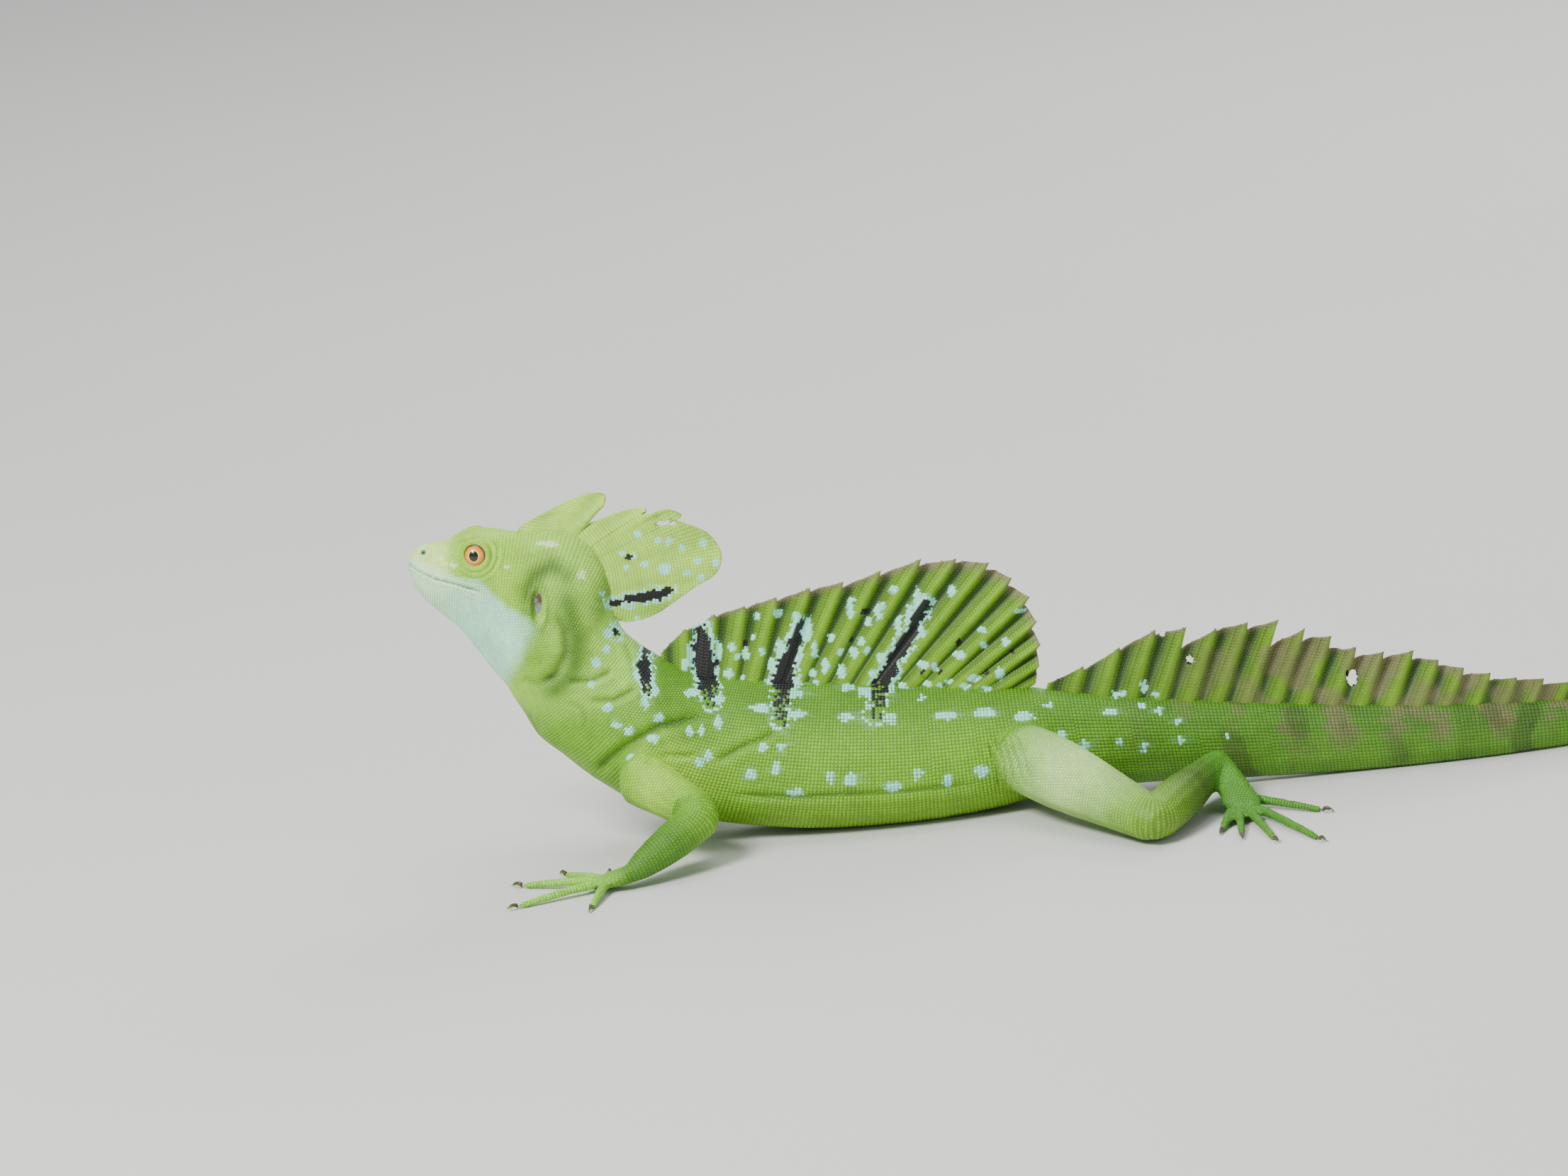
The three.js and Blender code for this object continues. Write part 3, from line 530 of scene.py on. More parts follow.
# Rings of folded lid round the eye, nostrils, and ear cups.
LID_RINGS = [(0.0045, 0.00035, 0.0005), (0.0056, -0.00045, 0.00038), (0.0064, 0.0003, 0.0004)]
LID_RINGS += [(0.0073, -0.00035, 0.0004), (0.0082, 0.0002, 0.0005)]
NOSTRIL = np.array((-0.1303, 0.0046, 0.1034))
EAR = np.array((-0.0957, 0.0140, 0.0840))
EAR_HALF = (0.0019, 0.0046)
local = places - origin
local[:, 1] = np.abs(local[:, 1])
gaze = np.array(gaze_of(1))
from_eye = local - np.array((EYE_CENTRE.x, -EYE_CENTRE.y, EYE_CENTRE.z))
ahead = from_eye @ gaze
off_axis = np.linalg.norm(from_eye - ahead[:, None] * gaze, axis=1)
near_eye = (ahead > -0.001) & (off_axis < 0.012)
for radius, height, spread in LID_RINGS:
    places += normals * (near_eye * height * bell(off_axis - radius, spread))[:, None]
from_nostril = np.linalg.norm(local - NOSTRIL, axis=1)
pit = 0.0014 * bell(from_nostril, 0.0008) - 0.0004 * bell(from_nostril - 0.0017, 0.0006)
places -= normals * pit[:, None]
from_ear = local - EAR
tilted = from_ear[:, 0] - 0.1 * from_ear[:, 2]
cup = np.hypot(tilted / EAR_HALF[0], from_ear[:, 2] / EAR_HALF[1])
on_cheek = from_ear[:, 1] > -0.006
places -= normals * (on_cheek * (0.0018 * bell(cup, 0.85) - 0.0006 * bell(cup - 1.4, 0.35)))[:, None]
places = smoothed(places, edges, np.full(len(places), 0.15), 2)
places[:, 2] = np.maximum(places[:, 2], 0.00005)
set_points(skin.data, places)

SKIN_SHARE_KEPT = 0.40
thinning = skin.modifiers.new("thinning", "DECIMATE")
thinning.ratio = SKIN_SHARE_KEPT
applied(skin)
skin.data.shade_smooth()
skin_tree = BVHTree.FromObject(skin, bpy.context.evaluated_depsgraph_get())

# Markings: each point of the hide has one colour, worked out from its place. Greens run from the back
# to the belly, the lips and throat are pale and bluish, rows of pale blue-white spots cross the flank,
# and black bars with pale rims run down from the back crest. Both sides carry the same pattern.
# The colours also carry painted shade in the folds and hollows of the hide and a painted sheen on top of the
# thighs.
LEAF = srgb(72, 128, 4)
FLANK_GREEN = srgb(114, 172, 18)
DEEP_GREEN = srgb(50, 100, 0)
BELLY_GREEN = srgb(116, 166, 0)
CROWN_GREEN = srgb(164, 212, 58)
CHEEK_GREEN = srgb(158, 212, 52)
CASQUE_GREEN = srgb(158, 212, 72)
SNOUT_PALE = srgb(208, 242, 132)
PALE_MINT = srgb(204, 250, 200)
JAW_BLUE = srgb(178, 244, 208)
# Painted sheen on the top of the thigh.
THIGH_PAINTED_SHEEN = srgb(186, 226, 136)
KNEE_OLIVE = srgb(114, 164, 26)
SHANK_OLIVE = srgb(64, 96, 4)
FOOT_GREEN = srgb(76, 140, 28)
HAND_GREEN = srgb(138, 204, 60)
MAUVE_BROWN = srgb(116, 104, 70)
BAND_OLIVE = srgb(50, 66, 8)
# Crest greens with painted shade in the folds and painted light on the rays.
CREST_VALLEY_PAINTED_SHADE = srgb(42, 76, 0)
CREST_RIDGE_PAINTED_LIGHT = srgb(118, 168, 2)
CREST_TIP = srgb(126, 114, 78)
HEAD_CREST = srgb(172, 220, 76)
SPOT_BLUE = srgb(118, 236, 206)
SPOT_WHITE = srgb(196, 250, 232)
CREAM = srgb(232, 250, 186)
BAR_BLACK = srgb(12, 13, 10)

# Spots, as across, down, half width and half height, in pixels of the photograph.
FLANK_SPOTS = [
    (975, 977, 8, 5), (1014, 987, 8, 5), (1074, 999, 13, 5), (1125, 1008, 10, 5), (1194, 1012, 9, 6),
    (1256, 1014, 9, 6), (1333, 1009, 14, 5), (1390, 1006, 14, 5), (1445, 1011, 13, 6), (898, 951, 6, 7),
    (919, 963, 5, 8), (910, 991, 5, 8), (929, 1013, 6, 5), (888, 1032, 6, 5), (920, 1042, 7, 5),
    (892, 1070, 7, 6), (973, 1031, 4, 6), (989, 1031, 4, 6), (1012, 1019, 5, 8), (998, 1066, 5, 7),
    (986, 1076, 5, 6), (1058, 1092, 7, 7), (1095, 1084, 5, 8), (1077, 1054, 5, 6), (1101, 1054, 5, 4),
    (1122, 1118, 9, 4), (1171, 1097, 5, 7), (1199, 1099, 5, 9), (1258, 1110, 9, 6), (1294, 1093, 7, 7),
    (1337, 1101, 6, 8), (1384, 1088, 11, 7), (962, 1105, 7, 4), (1225, 997, 5, 3), (1300, 985, 5, 3),
    (858, 894, 5, 6), (855, 915, 4, 5), (841, 934, 5, 6), (834, 966, 4, 4), (857, 998, 6, 5),
    (869, 1023, 6, 4), (924, 975, 4, 5), (1003, 925, 3, 6),
]
TAIL_SPOTS = [
    (1497, 1037, 7, 5), (1530, 1051, 4, 7), (1566, 1005, 7, 4), (1580, 1046, 4, 4), (1614, 1054, 4, 6),
    (1612, 996, 5, 3), (1636, 1003, 4, 4), (1662, 1017, 4, 4), (1614, 968, 4, 8), (1573, 980, 3, 4),
    (1583, 979, 4, 4), (1630, 980, 4, 3), (1665, 1044, 4, 5), (1479, 995, 6, 3), (1729, 1038, 4, 2),
]
HEAD_SPOTS = [
    (899, 754, 5, 5), (928, 762, 4, 4), (943, 764, 4, 4), (962, 773, 4, 4), (992, 766, 5, 6),
    (878, 781, 4, 4), (894, 785, 4, 4), (908, 796, 5, 4), (882, 800, 4, 3), (938, 802, 8, 7),
    (969, 808, 5, 4), (984, 792, 4, 4), (1010, 793, 4, 5), (988, 815, 5, 4), (849, 837, 3, 2),
    (898, 873, 4, 3),
]
CREAM_SPOTS = [
    (601, 800, 7, 6), (623, 788, 3, 3), (627, 796, 3, 2), (640, 798, 4, 2), (715, 799, 3, 2),
    (762, 766, 4, 2), (776, 767, 9, 4), (820, 810, 4, 5),
]
CREST_DASHES = [
    (972, 925, 3, 13), (967, 938, 4, 8), (1015, 918, 3, 13), (1032, 912, 4, 6), (1040, 927, 3, 4),
    (1028, 951, 6, 5), (1052, 922, 3, 10), (1047, 956, 3, 2), (1063, 898, 3, 4), (1075, 920, 3, 5),
    (1068, 870, 3, 5), (1097, 866, 5, 5), (1121, 869, 4, 6), (1099, 914, 4, 11), (1088, 938, 4, 11),
    (1112, 899, 3, 4), (1085, 962, 5, 4), (1141, 888, 4, 15), (1121, 924, 4, 9), (1126, 965, 4, 5),
    (1149, 918, 4, 11), (1173, 900, 5, 5), (1164, 940, 4, 10), (1147, 950, 4, 5), (1151, 962, 3, 3),
    (1201, 847, 5, 4), (1200, 861, 4, 11), (1225, 877, 5, 6), (1239, 863, 5, 10), (1246, 854, 3, 4),
    (1260, 832, 5, 6), (1214, 905, 4, 6), (1204, 920, 5, 8), (1185, 920, 3, 5), (1187, 948, 5, 9),
    (1223, 917, 4, 5), (1294, 844, 4, 12), (1283, 863, 3, 11), (1267, 882, 4, 11), (1344, 834, 5, 7),
    (1296, 893, 8, 4), (1277, 919, 4, 11), (1262, 939, 4, 11), (1302, 937, 6, 5), (1353, 924, 7, 6),
    (1319, 941, 3, 6), (1386, 889, 5, 4), (1388, 910, 4, 4), (1418, 906, 5, 5), (1441, 862, 7, 3),
    (1373, 957, 9, 5), (1361, 968, 6, 4), (1392, 972, 5, 3), (1411, 951, 5, 8), (1308, 965, 5, 4),
    (1325, 966, 3, 3), (1339, 962, 4, 3), (1273, 967, 6, 3), (1256, 966, 5, 9), (1195, 970, 8, 4),
    (1218, 977, 7, 6), (1124, 978, 7, 5), (1231, 951, 5, 5), (1242, 928, 4, 6), (1006, 948, 4, 5),
]
SPECKS = [
    (1221, 863, 5, 4), (1201, 904, 2, 3), (1051, 908, 2, 5), (1353, 907, 3, 4), (1327, 948, 2, 3),
    (1392, 949, 3, 3), (1428, 919, 3, 2), (886, 786, 4, 4), (1010, 935, 3, 4), (1300, 950, 2, 4),
]

# Black bars, as points across, down and half width in pixels, and the share of the length from which
# they break up into specks.
BARS = [
    ([(910, 914, 4), (908, 940, 8), (912, 960, 7), (916, 978, 5)], 0.55),
    ([(869, 890, 5), (870, 897, 6)], 0.9),
    ([(990, 893, 8), (992, 910, 13), (993, 945, 13), (1000, 968, 13), (1004, 990, 10)], 0.62),
    ([(1130, 878, 4), (1117, 918, 9), (1106, 950, 14), (1103, 972, 13), (1100, 1018, 9)], 0.66),
    ([(1306, 850, 5), (1292, 878, 8), (1277, 905, 9), (1254, 944, 9), (1240, 972, 11), (1232, 1010, 12)],
     0.62),
    ([(862, 850, 3), (884, 846, 5), (905, 841, 7), (930, 836, 7), (948, 830, 4)], 0.95),
]
BAR_RIM = 8.0
# Painted shade in the folds: its width as a share of each fold's half width, and its darkness for each metre
# of fold depth.
FOLD_PAINTED_SHADE_WIDTH = 0.8
FOLD_PAINTED_SHADE_DEPTH = 450

# Plan of each limb, x and distance from the middle plane, and colours at shares of the way along it.
LIMB_PLANS = {
    "arm": [[(-0.073, 0.013), (-0.0495, 0.038), (-0.074, 0.053), (-0.100, 0.052)],
            [(-0.070, 0.013), (-0.038, 0.037), (-0.037, 0.061), (-0.060, 0.066)]],
    "leg": [[(0.050, 0.008), (0.091, 0.063), (0.115, 0.017), (0.126, 0.065)],
            [(0.050, 0.008), (0.082, 0.062), (0.108, 0.020), (0.124, 0.070)]],
}
# The pale tone of the thigh is a painted sheen on its top; lower down the thigh turns belly green.
LIMB_COLOURS = {
    "arm": [FLANK_GREEN, CROWN_GREEN, FLANK_GREEN, LEAF, LEAF, HAND_GREEN, HAND_GREEN],
    "leg": [FLANK_GREEN, THIGH_PAINTED_SHEEN, KNEE_OLIVE, SHANK_OLIVE, FOOT_GREEN, FOOT_GREEN, FOOT_GREEN],
}


def mixed(colour, other, share):
    return colour + (np.asarray(other) - colour) * np.asarray(share)[..., None]


def wander(places, size, seed):
    """Smooth random values, about -1 to 1, that change over the given size."""
    rng = np.random.default_rng(seed)
    total = np.zeros(len(places))
    for _ in range(7):
        direction = rng.normal(size=3)
        direction /= np.linalg.norm(direction)
        waves = 2 * math.pi * rng.uniform(0.6, 1.6) / size
        total += np.sin(places @ direction * waves + rng.uniform(0, 2 * math.pi))
    return total / 4.5


def spotted(where, spots, ragged):
    """How much of a spot each point carries: 1 well inside, 0 outside."""
    inside = np.zeros(len(where))
    for across, down, half_width, half_height in spots:
        apart = np.hypot((where[:, 0] - across) / (half_width + 1), (where[:, 1] - down) / (half_height + 1))
        inside = np.maximum(inside, rise(1.1, 0.9, apart + ragged))
    return inside


def barred(where, chance, drift):
    """Where the black of the bars and the pale of their rims lie, as two masks."""
    black = np.zeros(len(where), bool)
    rim = np.zeros(len(where), bool)
    for points, whole in BARS:
        apart, share = distance_to_line(where, [point[:2] for point in points])
        half_width = np.interp(share * (len(points) - 1), range(len(points)), [p[2] for p in points])
        broken = rise(whole, 1.0, share)
        edge = apart - half_width + 3.5 * drift + 4 * (chance - 0.5)
        black |= (edge < 0) & (chance > 0.75 * broken - 0.05)
        rim |= (edge >= 0) & (edge < BAR_RIM * (1 - 0.4 * broken)) & (chance > 0.38)
    return black, rim & ~black


def limb_colours(local, colour):
    """Colours of the limbs over those of the body, from the plan of each limb."""
    x, y, z = local.T
    drift = wander(local, 0.01, 8)
    outside = rise(-0.001, 0.004, np.abs(y) - along_line(HALF_WIDTHS, x)) * (x < 0.165)
    for limb, plans in LIMB_PLANS.items():
        for side, plan in zip((-1, 1), plans):
            plan_points = np.stack([x, y * side], 1)
            apart, share = distance_to_line(plan_points, plan)
            stops = np.array(LIMB_COLOURS[limb])
            at = share * (len(stops) - 1)
            own = np.stack([np.interp(at, range(len(stops)), stops[:, c]) for c in range(3)], 1)
            near = rise(0.030, 0.024, apart) * (y * side > 0) * outside
            if limb == "leg":
                on_thigh = rise(0.38, 0.28, share)
                own = mixed(own, BELLY_GREEN, 0.75 * on_thigh * rise(0.013, 0.004, z + 0.002 * drift))
            colour = mixed(colour, own, near)
    return colour


def body_colours(local, where):
    """The ground colour of head, trunk and tail, without spots and bars."""
    x, y, z = local.T
    height = np.clip(z / np.maximum(along_line(BACK_LINE, x), 0.004), 0, 1.3)
    cloud = wander(local, 0.03, 1)
    colour = mixed(np.array(BELLY_GREEN), FLANK_GREEN, rise(0.14, 0.36, height + 0.05 * cloud))
    colour = mixed(colour, LEAF, 0.7 * rise(0.55, 0.95, height + 0.08 * cloud))
    colour = mixed(colour, LEAF, 0.8 * rise(0.04, 0.10, x))
    colour = mixed(colour, DEEP_GREEN, 0.5 * rise(0.08, 0.18, x) * rise(0.3, 0.8, height))
    patches = wander(local * (1, 1, 0.6), 0.020, 2) + 0.35 * wander(local, 0.006, 9)
    dirty = rise(0.075, 0.13, x) * rise(0.0, 0.7, patches + 0.3)
    colour = mixed(colour, MAUVE_BROWN, 0.7 * dirty * rise(0.2, 0.65, height))
    grimy = rise(0.080, 0.120, x) * rise(0.1, 0.8, wander(local * (1, 1, 0.4), 0.011, 13))
    colour = mixed(colour, BAND_OLIVE, 0.5 * grimy)
    bands = rise(0.35, 0.75, np.sin((x + 0.004 * cloud) * 2 * math.pi / 0.021)) * rise(0.16, 0.24, x)
    return mixed(colour, BAND_OLIVE, 0.7 * bands)


def head_colours(local, where, colour):
    """Colours of the head and neck over those of the body."""
    x, y, z = local.T
    across, down = where.T
    on_head = rise(-0.058, -0.070, x) * rise(0.040, 0.058, z)
    face = mixed(np.array(CASQUE_GREEN), CHEEK_GREEN, rise(770, 720, across))
    face = mixed(face, CROWN_GREEN, rise(775, 755, down) * rise(700, 660, across))
    face = mixed(face, SNOUT_PALE, rise(650, 610, across))
    # Painted shade: deep green in the hollows of the cheek groove, along the foot of the crest and behind
    # the jaw bulge.
    cheek_shade = distance_to_line(where, FOLDS[0][2])[0]
    face = mixed(face, DEEP_GREEN, 0.65 * bell(cheek_shade, 15))
    crest_shade = distance_to_line(where, FOLDS[1][2])[0]
    face = mixed(face, DEEP_GREEN, 0.4 * bell(crest_shade, 14))
    jaw_shade = distance_to_line(where, [(800, 850), (810, 900), (806, 950), (780, 970)])[0]
    face = mixed(face, DEEP_GREEN, 0.75 * bell(jaw_shade, 18))
    face = mixed(face, BELLY_GREEN, 0.5 * bell(np.hypot(across - 760, (down - 935) * 1.2), 32))
    upper = np.interp(across, [560, 600, 640, 675, 715, 765], [778, 800, 812, 820, 858, 886])
    under = rise(-7, 9, down - upper + 5 * wander(local, 0.010, 3))
    rear = rise(762, 728, across + 0.55 * (down - 905))
    mint = mixed(np.array(PALE_MINT), JAW_BLUE, rise(600, 680, across + 0.4 * (down - 850)))
    face = mixed(face, mint, 0.92 * under * rear)
    lips = bell(distance_to_line(where, MOUTH)[0], 9.0) * rise(700, 672, across)
    face = mixed(face, PALE_MINT, 0.75 * lips)
    from_nostril = np.hypot(x - NOSTRIL[0], z - NOSTRIL[2])
    face = mixed(face, PALE_MINT, 0.5 * bell(from_nostril - 0.0012, 0.0008))
    # Painted shade: black in the opening of each nostril, and a thin dark line in the slit of the mouth.
    face = mixed(face, BAR_BLACK, 0.95 * rise(0.00095, 0.00060, from_nostril))
    face = mixed(face, SHANK_OLIVE, 0.7 * bell(distance_to_line(where, MOUTH)[0], 1.2))
    return mixed(colour, face, on_head)


def markings_and_painted_light(places, chance, crest=None):
    """Colours of points of the hide, with painted shade in its folds and hollows, or over the given crest
    colours with their painted light and shade. `chance` is a random number for each, so that scales differ.
    """
    local = places - origin
    where = pixel(places)
    drift = wander(local, 0.006, 6)
    ragged = (chance - 0.5) * 0.5 + 0.12 * drift
    if crest is None:
        colour = head_colours(local, where, body_colours(local, where))
        # The folds are darkened here with painted shade.
        colour = limb_colours(local, colour * fold_painted_shade(where)[:, None])
    else:
        colour = crest
    colour = colour * (1 + 0.10 * wander(local, 0.012, 4) + 0.07 * wander(local, 0.004, 5))[:, None]
    colour = mixed(colour, CREAM, 0.85 * spotted(where, CREAM_SPOTS, ragged))
    on_body = np.abs(local[:, 1]) < along_line(HALF_WIDTHS, local[:, 0]) + 0.004
    spots = FLANK_SPOTS + TAIL_SPOTS + HEAD_SPOTS + CREST_DASHES
    pale = spotted(where, spots, ragged) * on_body
    black, rim = barred(where, chance, drift)
    pale = np.maximum(pale, 0.9 * rim * on_body)
    colour = mixed(colour, mixed(np.array(SPOT_BLUE), SPOT_WHITE, 0.2 + 0.5 * chance), pale)
    black = np.maximum(black, spotted(where, SPECKS, ragged))
    return mixed(colour, BAR_BLACK, black * on_body)


# Painted shade: the colour is darkened in the depths of the folds, more for deeper folds.
def fold_painted_shade(where):
    """How dark the depths of the folds are at points in the photograph: 1 where there is none."""
    painted_shading = np.ones(len(where))
    for depth, half_width, line in FOLDS:
        apart, share = distance_to_line(where, line)
        across = bell(apart * METRES_PER_PIXEL, FOLD_PAINTED_SHADE_WIDTH * half_width)
        painted_shading -= max(depth, 0) * FOLD_PAINTED_SHADE_DEPTH * across * rise(0, 0.2, share) * rise(1, 0.8, share)
    return np.maximum(painted_shading, 0.45)


def paint(mesh, colours):
    layer = mesh.color_attributes.new("markings_and_painted_light", "FLOAT_COLOR", "POINT")
    layer.data.foreach_set("color", np.hstack([np.clip(colours, 0, 1), np.ones((len(colours), 1))]).ravel())


GRAIN_SCALE = 1100.0
GRAIN_GLOSS = 0.35
GRAIN_DEPTH = 0.0002


def hide_grain():
    """Node group of the hide's fine grain: a mottled colour, an uneven gloss and a fine relief."""
    group = bpy.data.node_groups.new("hide_grain", "ShaderNodeTree")
    sockets = [("Colour", "INPUT", "NodeSocketColor"), ("Mottling", "INPUT", "NodeSocketFloat")]
    sockets += [("Gloss", "INPUT", "NodeSocketFloat"), ("Relief", "INPUT", "NodeSocketFloat")]
    sockets += [("Colour", "OUTPUT", "NodeSocketColor"), ("Roughness", "OUTPUT", "NodeSocketFloat")]
    sockets += [("Normal", "OUTPUT", "NodeSocketVector")]
    for name, way, kind in sockets:
        group.interface.new_socket(name=name, in_out=way, socket_type=kind)
    given = group.nodes.new("NodeGroupInput").outputs
    result = group.nodes.new("NodeGroupOutput").inputs
    place = node(group, "TexCoord", {}).outputs["Object"]
    fine = node(group, "TexNoise", {"Vector": place, "Scale": GRAIN_SCALE, "Detail": 3.0}).outputs["Fac"]
    centred = node(group, "Math", {0: fine, 1: 0.5}, operation="SUBTRACT").outputs[0]
    light = node(group, "Math", {0: centred, 1: given["Mottling"], 2: 1.0}, operation="MULTIPLY_ADD")
    toned = node(group, "HueSaturation", {"Color": given["Colour"], "Value": light.outputs[0]})
    gloss = node(group, "Math", {0: centred, 1: GRAIN_GLOSS, 2: given["Gloss"]}, operation="MULTIPLY_ADD")
    relief = node(group, "Bump", {"Strength": given["Relief"], "Height": fine, "Distance": GRAIN_DEPTH})
    group.links.new(toned.outputs["Color"], result["Colour"])
    group.links.new(gloss.outputs[0], result["Roughness"])
    group.links.new(relief.outputs["Normal"], result["Normal"])
    return group


GRAIN = hide_grain()


def hide_material(name, roughness, relief, mottling):
    """Satin hide that shows its markings, with the light and shade painted into them."""
    material, tree, shader = new_material(name, roughness)
    colours = node(tree, "Attribute", {}, attribute_name="markings_and_painted_light").outputs["Color"]
    given = {"Colour": colours, "Mottling": mottling, "Gloss": roughness, "Relief": relief}
    grain = node(tree, "Group", given, node_tree=GRAIN)
    tree.links.new(grain.outputs["Colour"], shader.inputs["Base Color"])
    tree.links.new(grain.outputs["Roughness"], shader.inputs["Roughness"])
    tree.links.new(grain.outputs["Normal"], shader.inputs["Normal"])
    return material


skin_material = hide_material("hide", 0.6, 0.6, 0.3)
skin.data.materials.append(skin_material)
skin_places = points_of(skin.data)
# Painted shade: the bare hide between the scales is darkened, less so on the head, so that the gaps read
# dark.
gap_painted_shade = 0.70 + 0.14 * rise(-0.050, -0.085, skin_places[:, 0] - origin[0])
paint(skin.data, markings_and_painted_light(skin_places, np.full(len(skin_places), 0.5)) * gap_painted_shade[:, None])
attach(skin, "root")
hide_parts(*CORE_NODES, *LIMB_NODES)

# Scales of the head, body and tail: small horny pads in rings round the body, each leaning over the
# next. They are staggered on head and neck, stand in straight rows on the flank, and are keeled and
# square on the tail. A slice of the body, from its back to its underside, x and z, gives each ring.
GIRDLES = np.array([
    (-0.1354, 0.1012, -0.1356, 0.0976), (-0.1285, 0.1054, -0.1312, 0.0866),
    (-0.1174, 0.1078, -0.1220, 0.0770), (-0.1055, 0.1076, -0.1144, 0.0650),
    (-0.0905, 0.1066, -0.1090, 0.0570), (-0.0750, 0.1020, -0.1072, 0.0532),
    (-0.0698, 0.0870, -0.1056, 0.0498), (-0.0695, 0.0710, -0.1030, 0.0445),
    (-0.0595, 0.0615, -0.0940, 0.0330), (-0.0465, 0.0540, -0.0750, 0.0165),
    (-0.0250, 0.0500, -0.0400, 0.0040), (0.0080, 0.0456, 0.0030, 0.0),
    (0.0420, 0.0406, 0.0440, 0.0004), (0.0760, 0.0350, 0.0790, 0.0030),
    (0.1300, 0.0270, 0.1320, 0.0006), (0.2050, 0.0180, 0.2050, 0.0),
    (0.3100, 0.0108, 0.3100, 0.0), (0.4350, 0.0060, 0.4350, 0.0),
    (0.5550, 0.0031, 0.5550, 0.0), (0.5920, 0.0022, 0.5920, 0.0),
])
SCALE_GAPS = [
    (-0.135, 0.00076), (-0.105, 0.00088), (-0.06, 0.00104), (0.0, 0.00120), (0.1, 0.00118), (0.3, 0.00124),
    (0.59, 0.0010),
]
FIRST_RING = 0.0012
LAST_RING = 0.0004
STAGGERED_TO = -0.062
RAYS_PER_RING = 72
RAYS_MISSED = 6
BODY_REACH = 0.08
HIDE_REACH = 0.0024
COUNT_SLACK = 0.09
ROOM_CELL = 0.0015
RING_ROOM = 0.45
roots_taken = {}

core_foot = sheet("core_foot", 60, 24, crest_foot)
core = remeshed(CORE_NODES, "core", CORE_VOXEL, [core_foot])
core_tree = BVHTree.FromObject(core, bpy.context.evaluated_depsgraph_get())
bpy.data.objects.remove(core)


def ring_round(tree, centre, up, out, rays, reach):
    """Points where rays from a centre, fanned in one plane, leave a body."""
    ring = []
    for ray in range(rays):
        angle = 2 * math.pi * ray / rays
        hit = tree.ray_cast(centre, up * math.cos(angle) - out * math.sin(angle), reach)[0]
        if hit:
            ring.append(hit)
    return np.array(ring)


def spaced(ring, spacing, count, shift):
    """Evenly spaced points along a closed ring, keeping the last ring's count while it still fits."""
    closed = np.vstack([ring, ring[:1]])
    lengths = walked_along(closed)
    wanted = lengths[-1] / spacing
    if not count or abs(wanted / count - 1) > COUNT_SLACK:
        count = max(6, round(wanted))
    at = (np.arange(count) + shift) / count * lengths[-1]
    points = np.stack([np.interp(at, lengths, closed[:, axis]) for axis in range(3)], 1)
    return points, at / lengths[-1], count, lengths[-1] / count


def body_rings():
    """Walks from the snout to the tip of the tail in steps of the scales' length."""
    middles = (GIRDLES[:, :2] + GIRDLES[:, 2:]) / 2
    walked = walked_along(middles)
    station = FIRST_RING
    while station < walked[-1] - LAST_RING:
        back_x, back_z, under_x, under_z = [np.interp(station, walked, column) for column in GIRDLES.T]
        yield station, back_x, back_z, under_x, under_z
        station += float(along_line(SCALE_GAPS, (back_x + under_x) / 2))


core_scales = []
count = 0
for number, (station, back_x, back_z, under_x, under_z) in enumerate(body_rings()):
    x = (back_x + under_x) / 2
    turn = float(heading(np.array(x)))
    ends = bent(np.array([[back_x, 0, back_z], [under_x, 0, under_z]]))
    up = Vector(ends[0] - ends[1]).normalized()
    out = Vector((-math.sin(turn), math.cos(turn), 0))
    rearward = out.cross(up).normalized()
    ring = ring_round(core_tree, middle + Vector(ends.mean(0)), up, out, RAYS_PER_RING, BODY_REACH)
    if len(ring) < RAYS_PER_RING - RAYS_MISSED:
        continue
    gap = float(along_line(SCALE_GAPS, x))
    shift = 0.5 * (number % 2) if x < STAGGERED_TO else 0.5
    points, shares, count, width = spaced(ring, gap, count, shift)
    for point, share in zip(points, shares):
        core_scales.append((point, rearward, gap, width, station, share))


def takes_room(root, room):
    """Notes a root as taken, unless another one is closer than the room it needs."""
    i, j, k = (int(c // ROOM_CELL) for c in root)
    for cell in itertools.product((i - 1, i, i + 1), (j - 1, j, j + 1), (k - 1, k, k + 1)):
        if any((root - other).length < room for other in roots_taken.get(cell, ())):
            return False
    roots_taken.setdefault((i, j, k), []).append(root)
    return True


def set_on_hide(scales, reach):
    """Moves each scale's root to the hide below it, and drops those with no hide or no room there."""
    kept = []
    for point, rearward, length, width, along, around in scales:
        hit, normal, _, _ = skin_tree.find_nearest(Vector(point), reach)
        if hit is not None and takes_room(hit, RING_ROOM * min(length, width)):
            kept.append((*hit, *normal, *rearward, length, width, along, around))
    return np.array(kept)


def scale_template(sides, foot, crown, keel):
    """One scale, 1 long and 1 wide: a pad with flat sides, higher at its rear edge, with a crown that
    sits back by the keel's length."""
    shape = bmesh.new()
    bmesh.ops.create_cone(shape, cap_ends=True, segments=sides, radius1=foot, radius2=crown, depth=1.0)
    if sides == 4:
        bmesh.ops.rotate(shape, verts=shape.verts, matrix=Matrix.Rotation(math.pi / 4, 3, "Z"))
    top = max(shape.faces, key=lambda face: face.calc_center_median().z)
    apex = bmesh.ops.poke(shape, faces=[top])["verts"][0]
    for vertex in shape.verts:
        on_top = vertex.co.z > 0
        vertex.co.z = (0.72 + 0.75 * vertex.co.x) if on_top else -0.7
        vertex.co.x += 0.10 if on_top else 0.0
    apex.co.x += keel
    apex.co.z = 1.12 + keel
    bmesh.ops.triangulate(shape, faces=shape.faces)
    corners = np.array([vertex.co[:] for vertex in shape.verts])
    faces = np.array([[vertex.index for vertex in face.verts] for face in shape.faces])
    shape.free()
    return corners, faces


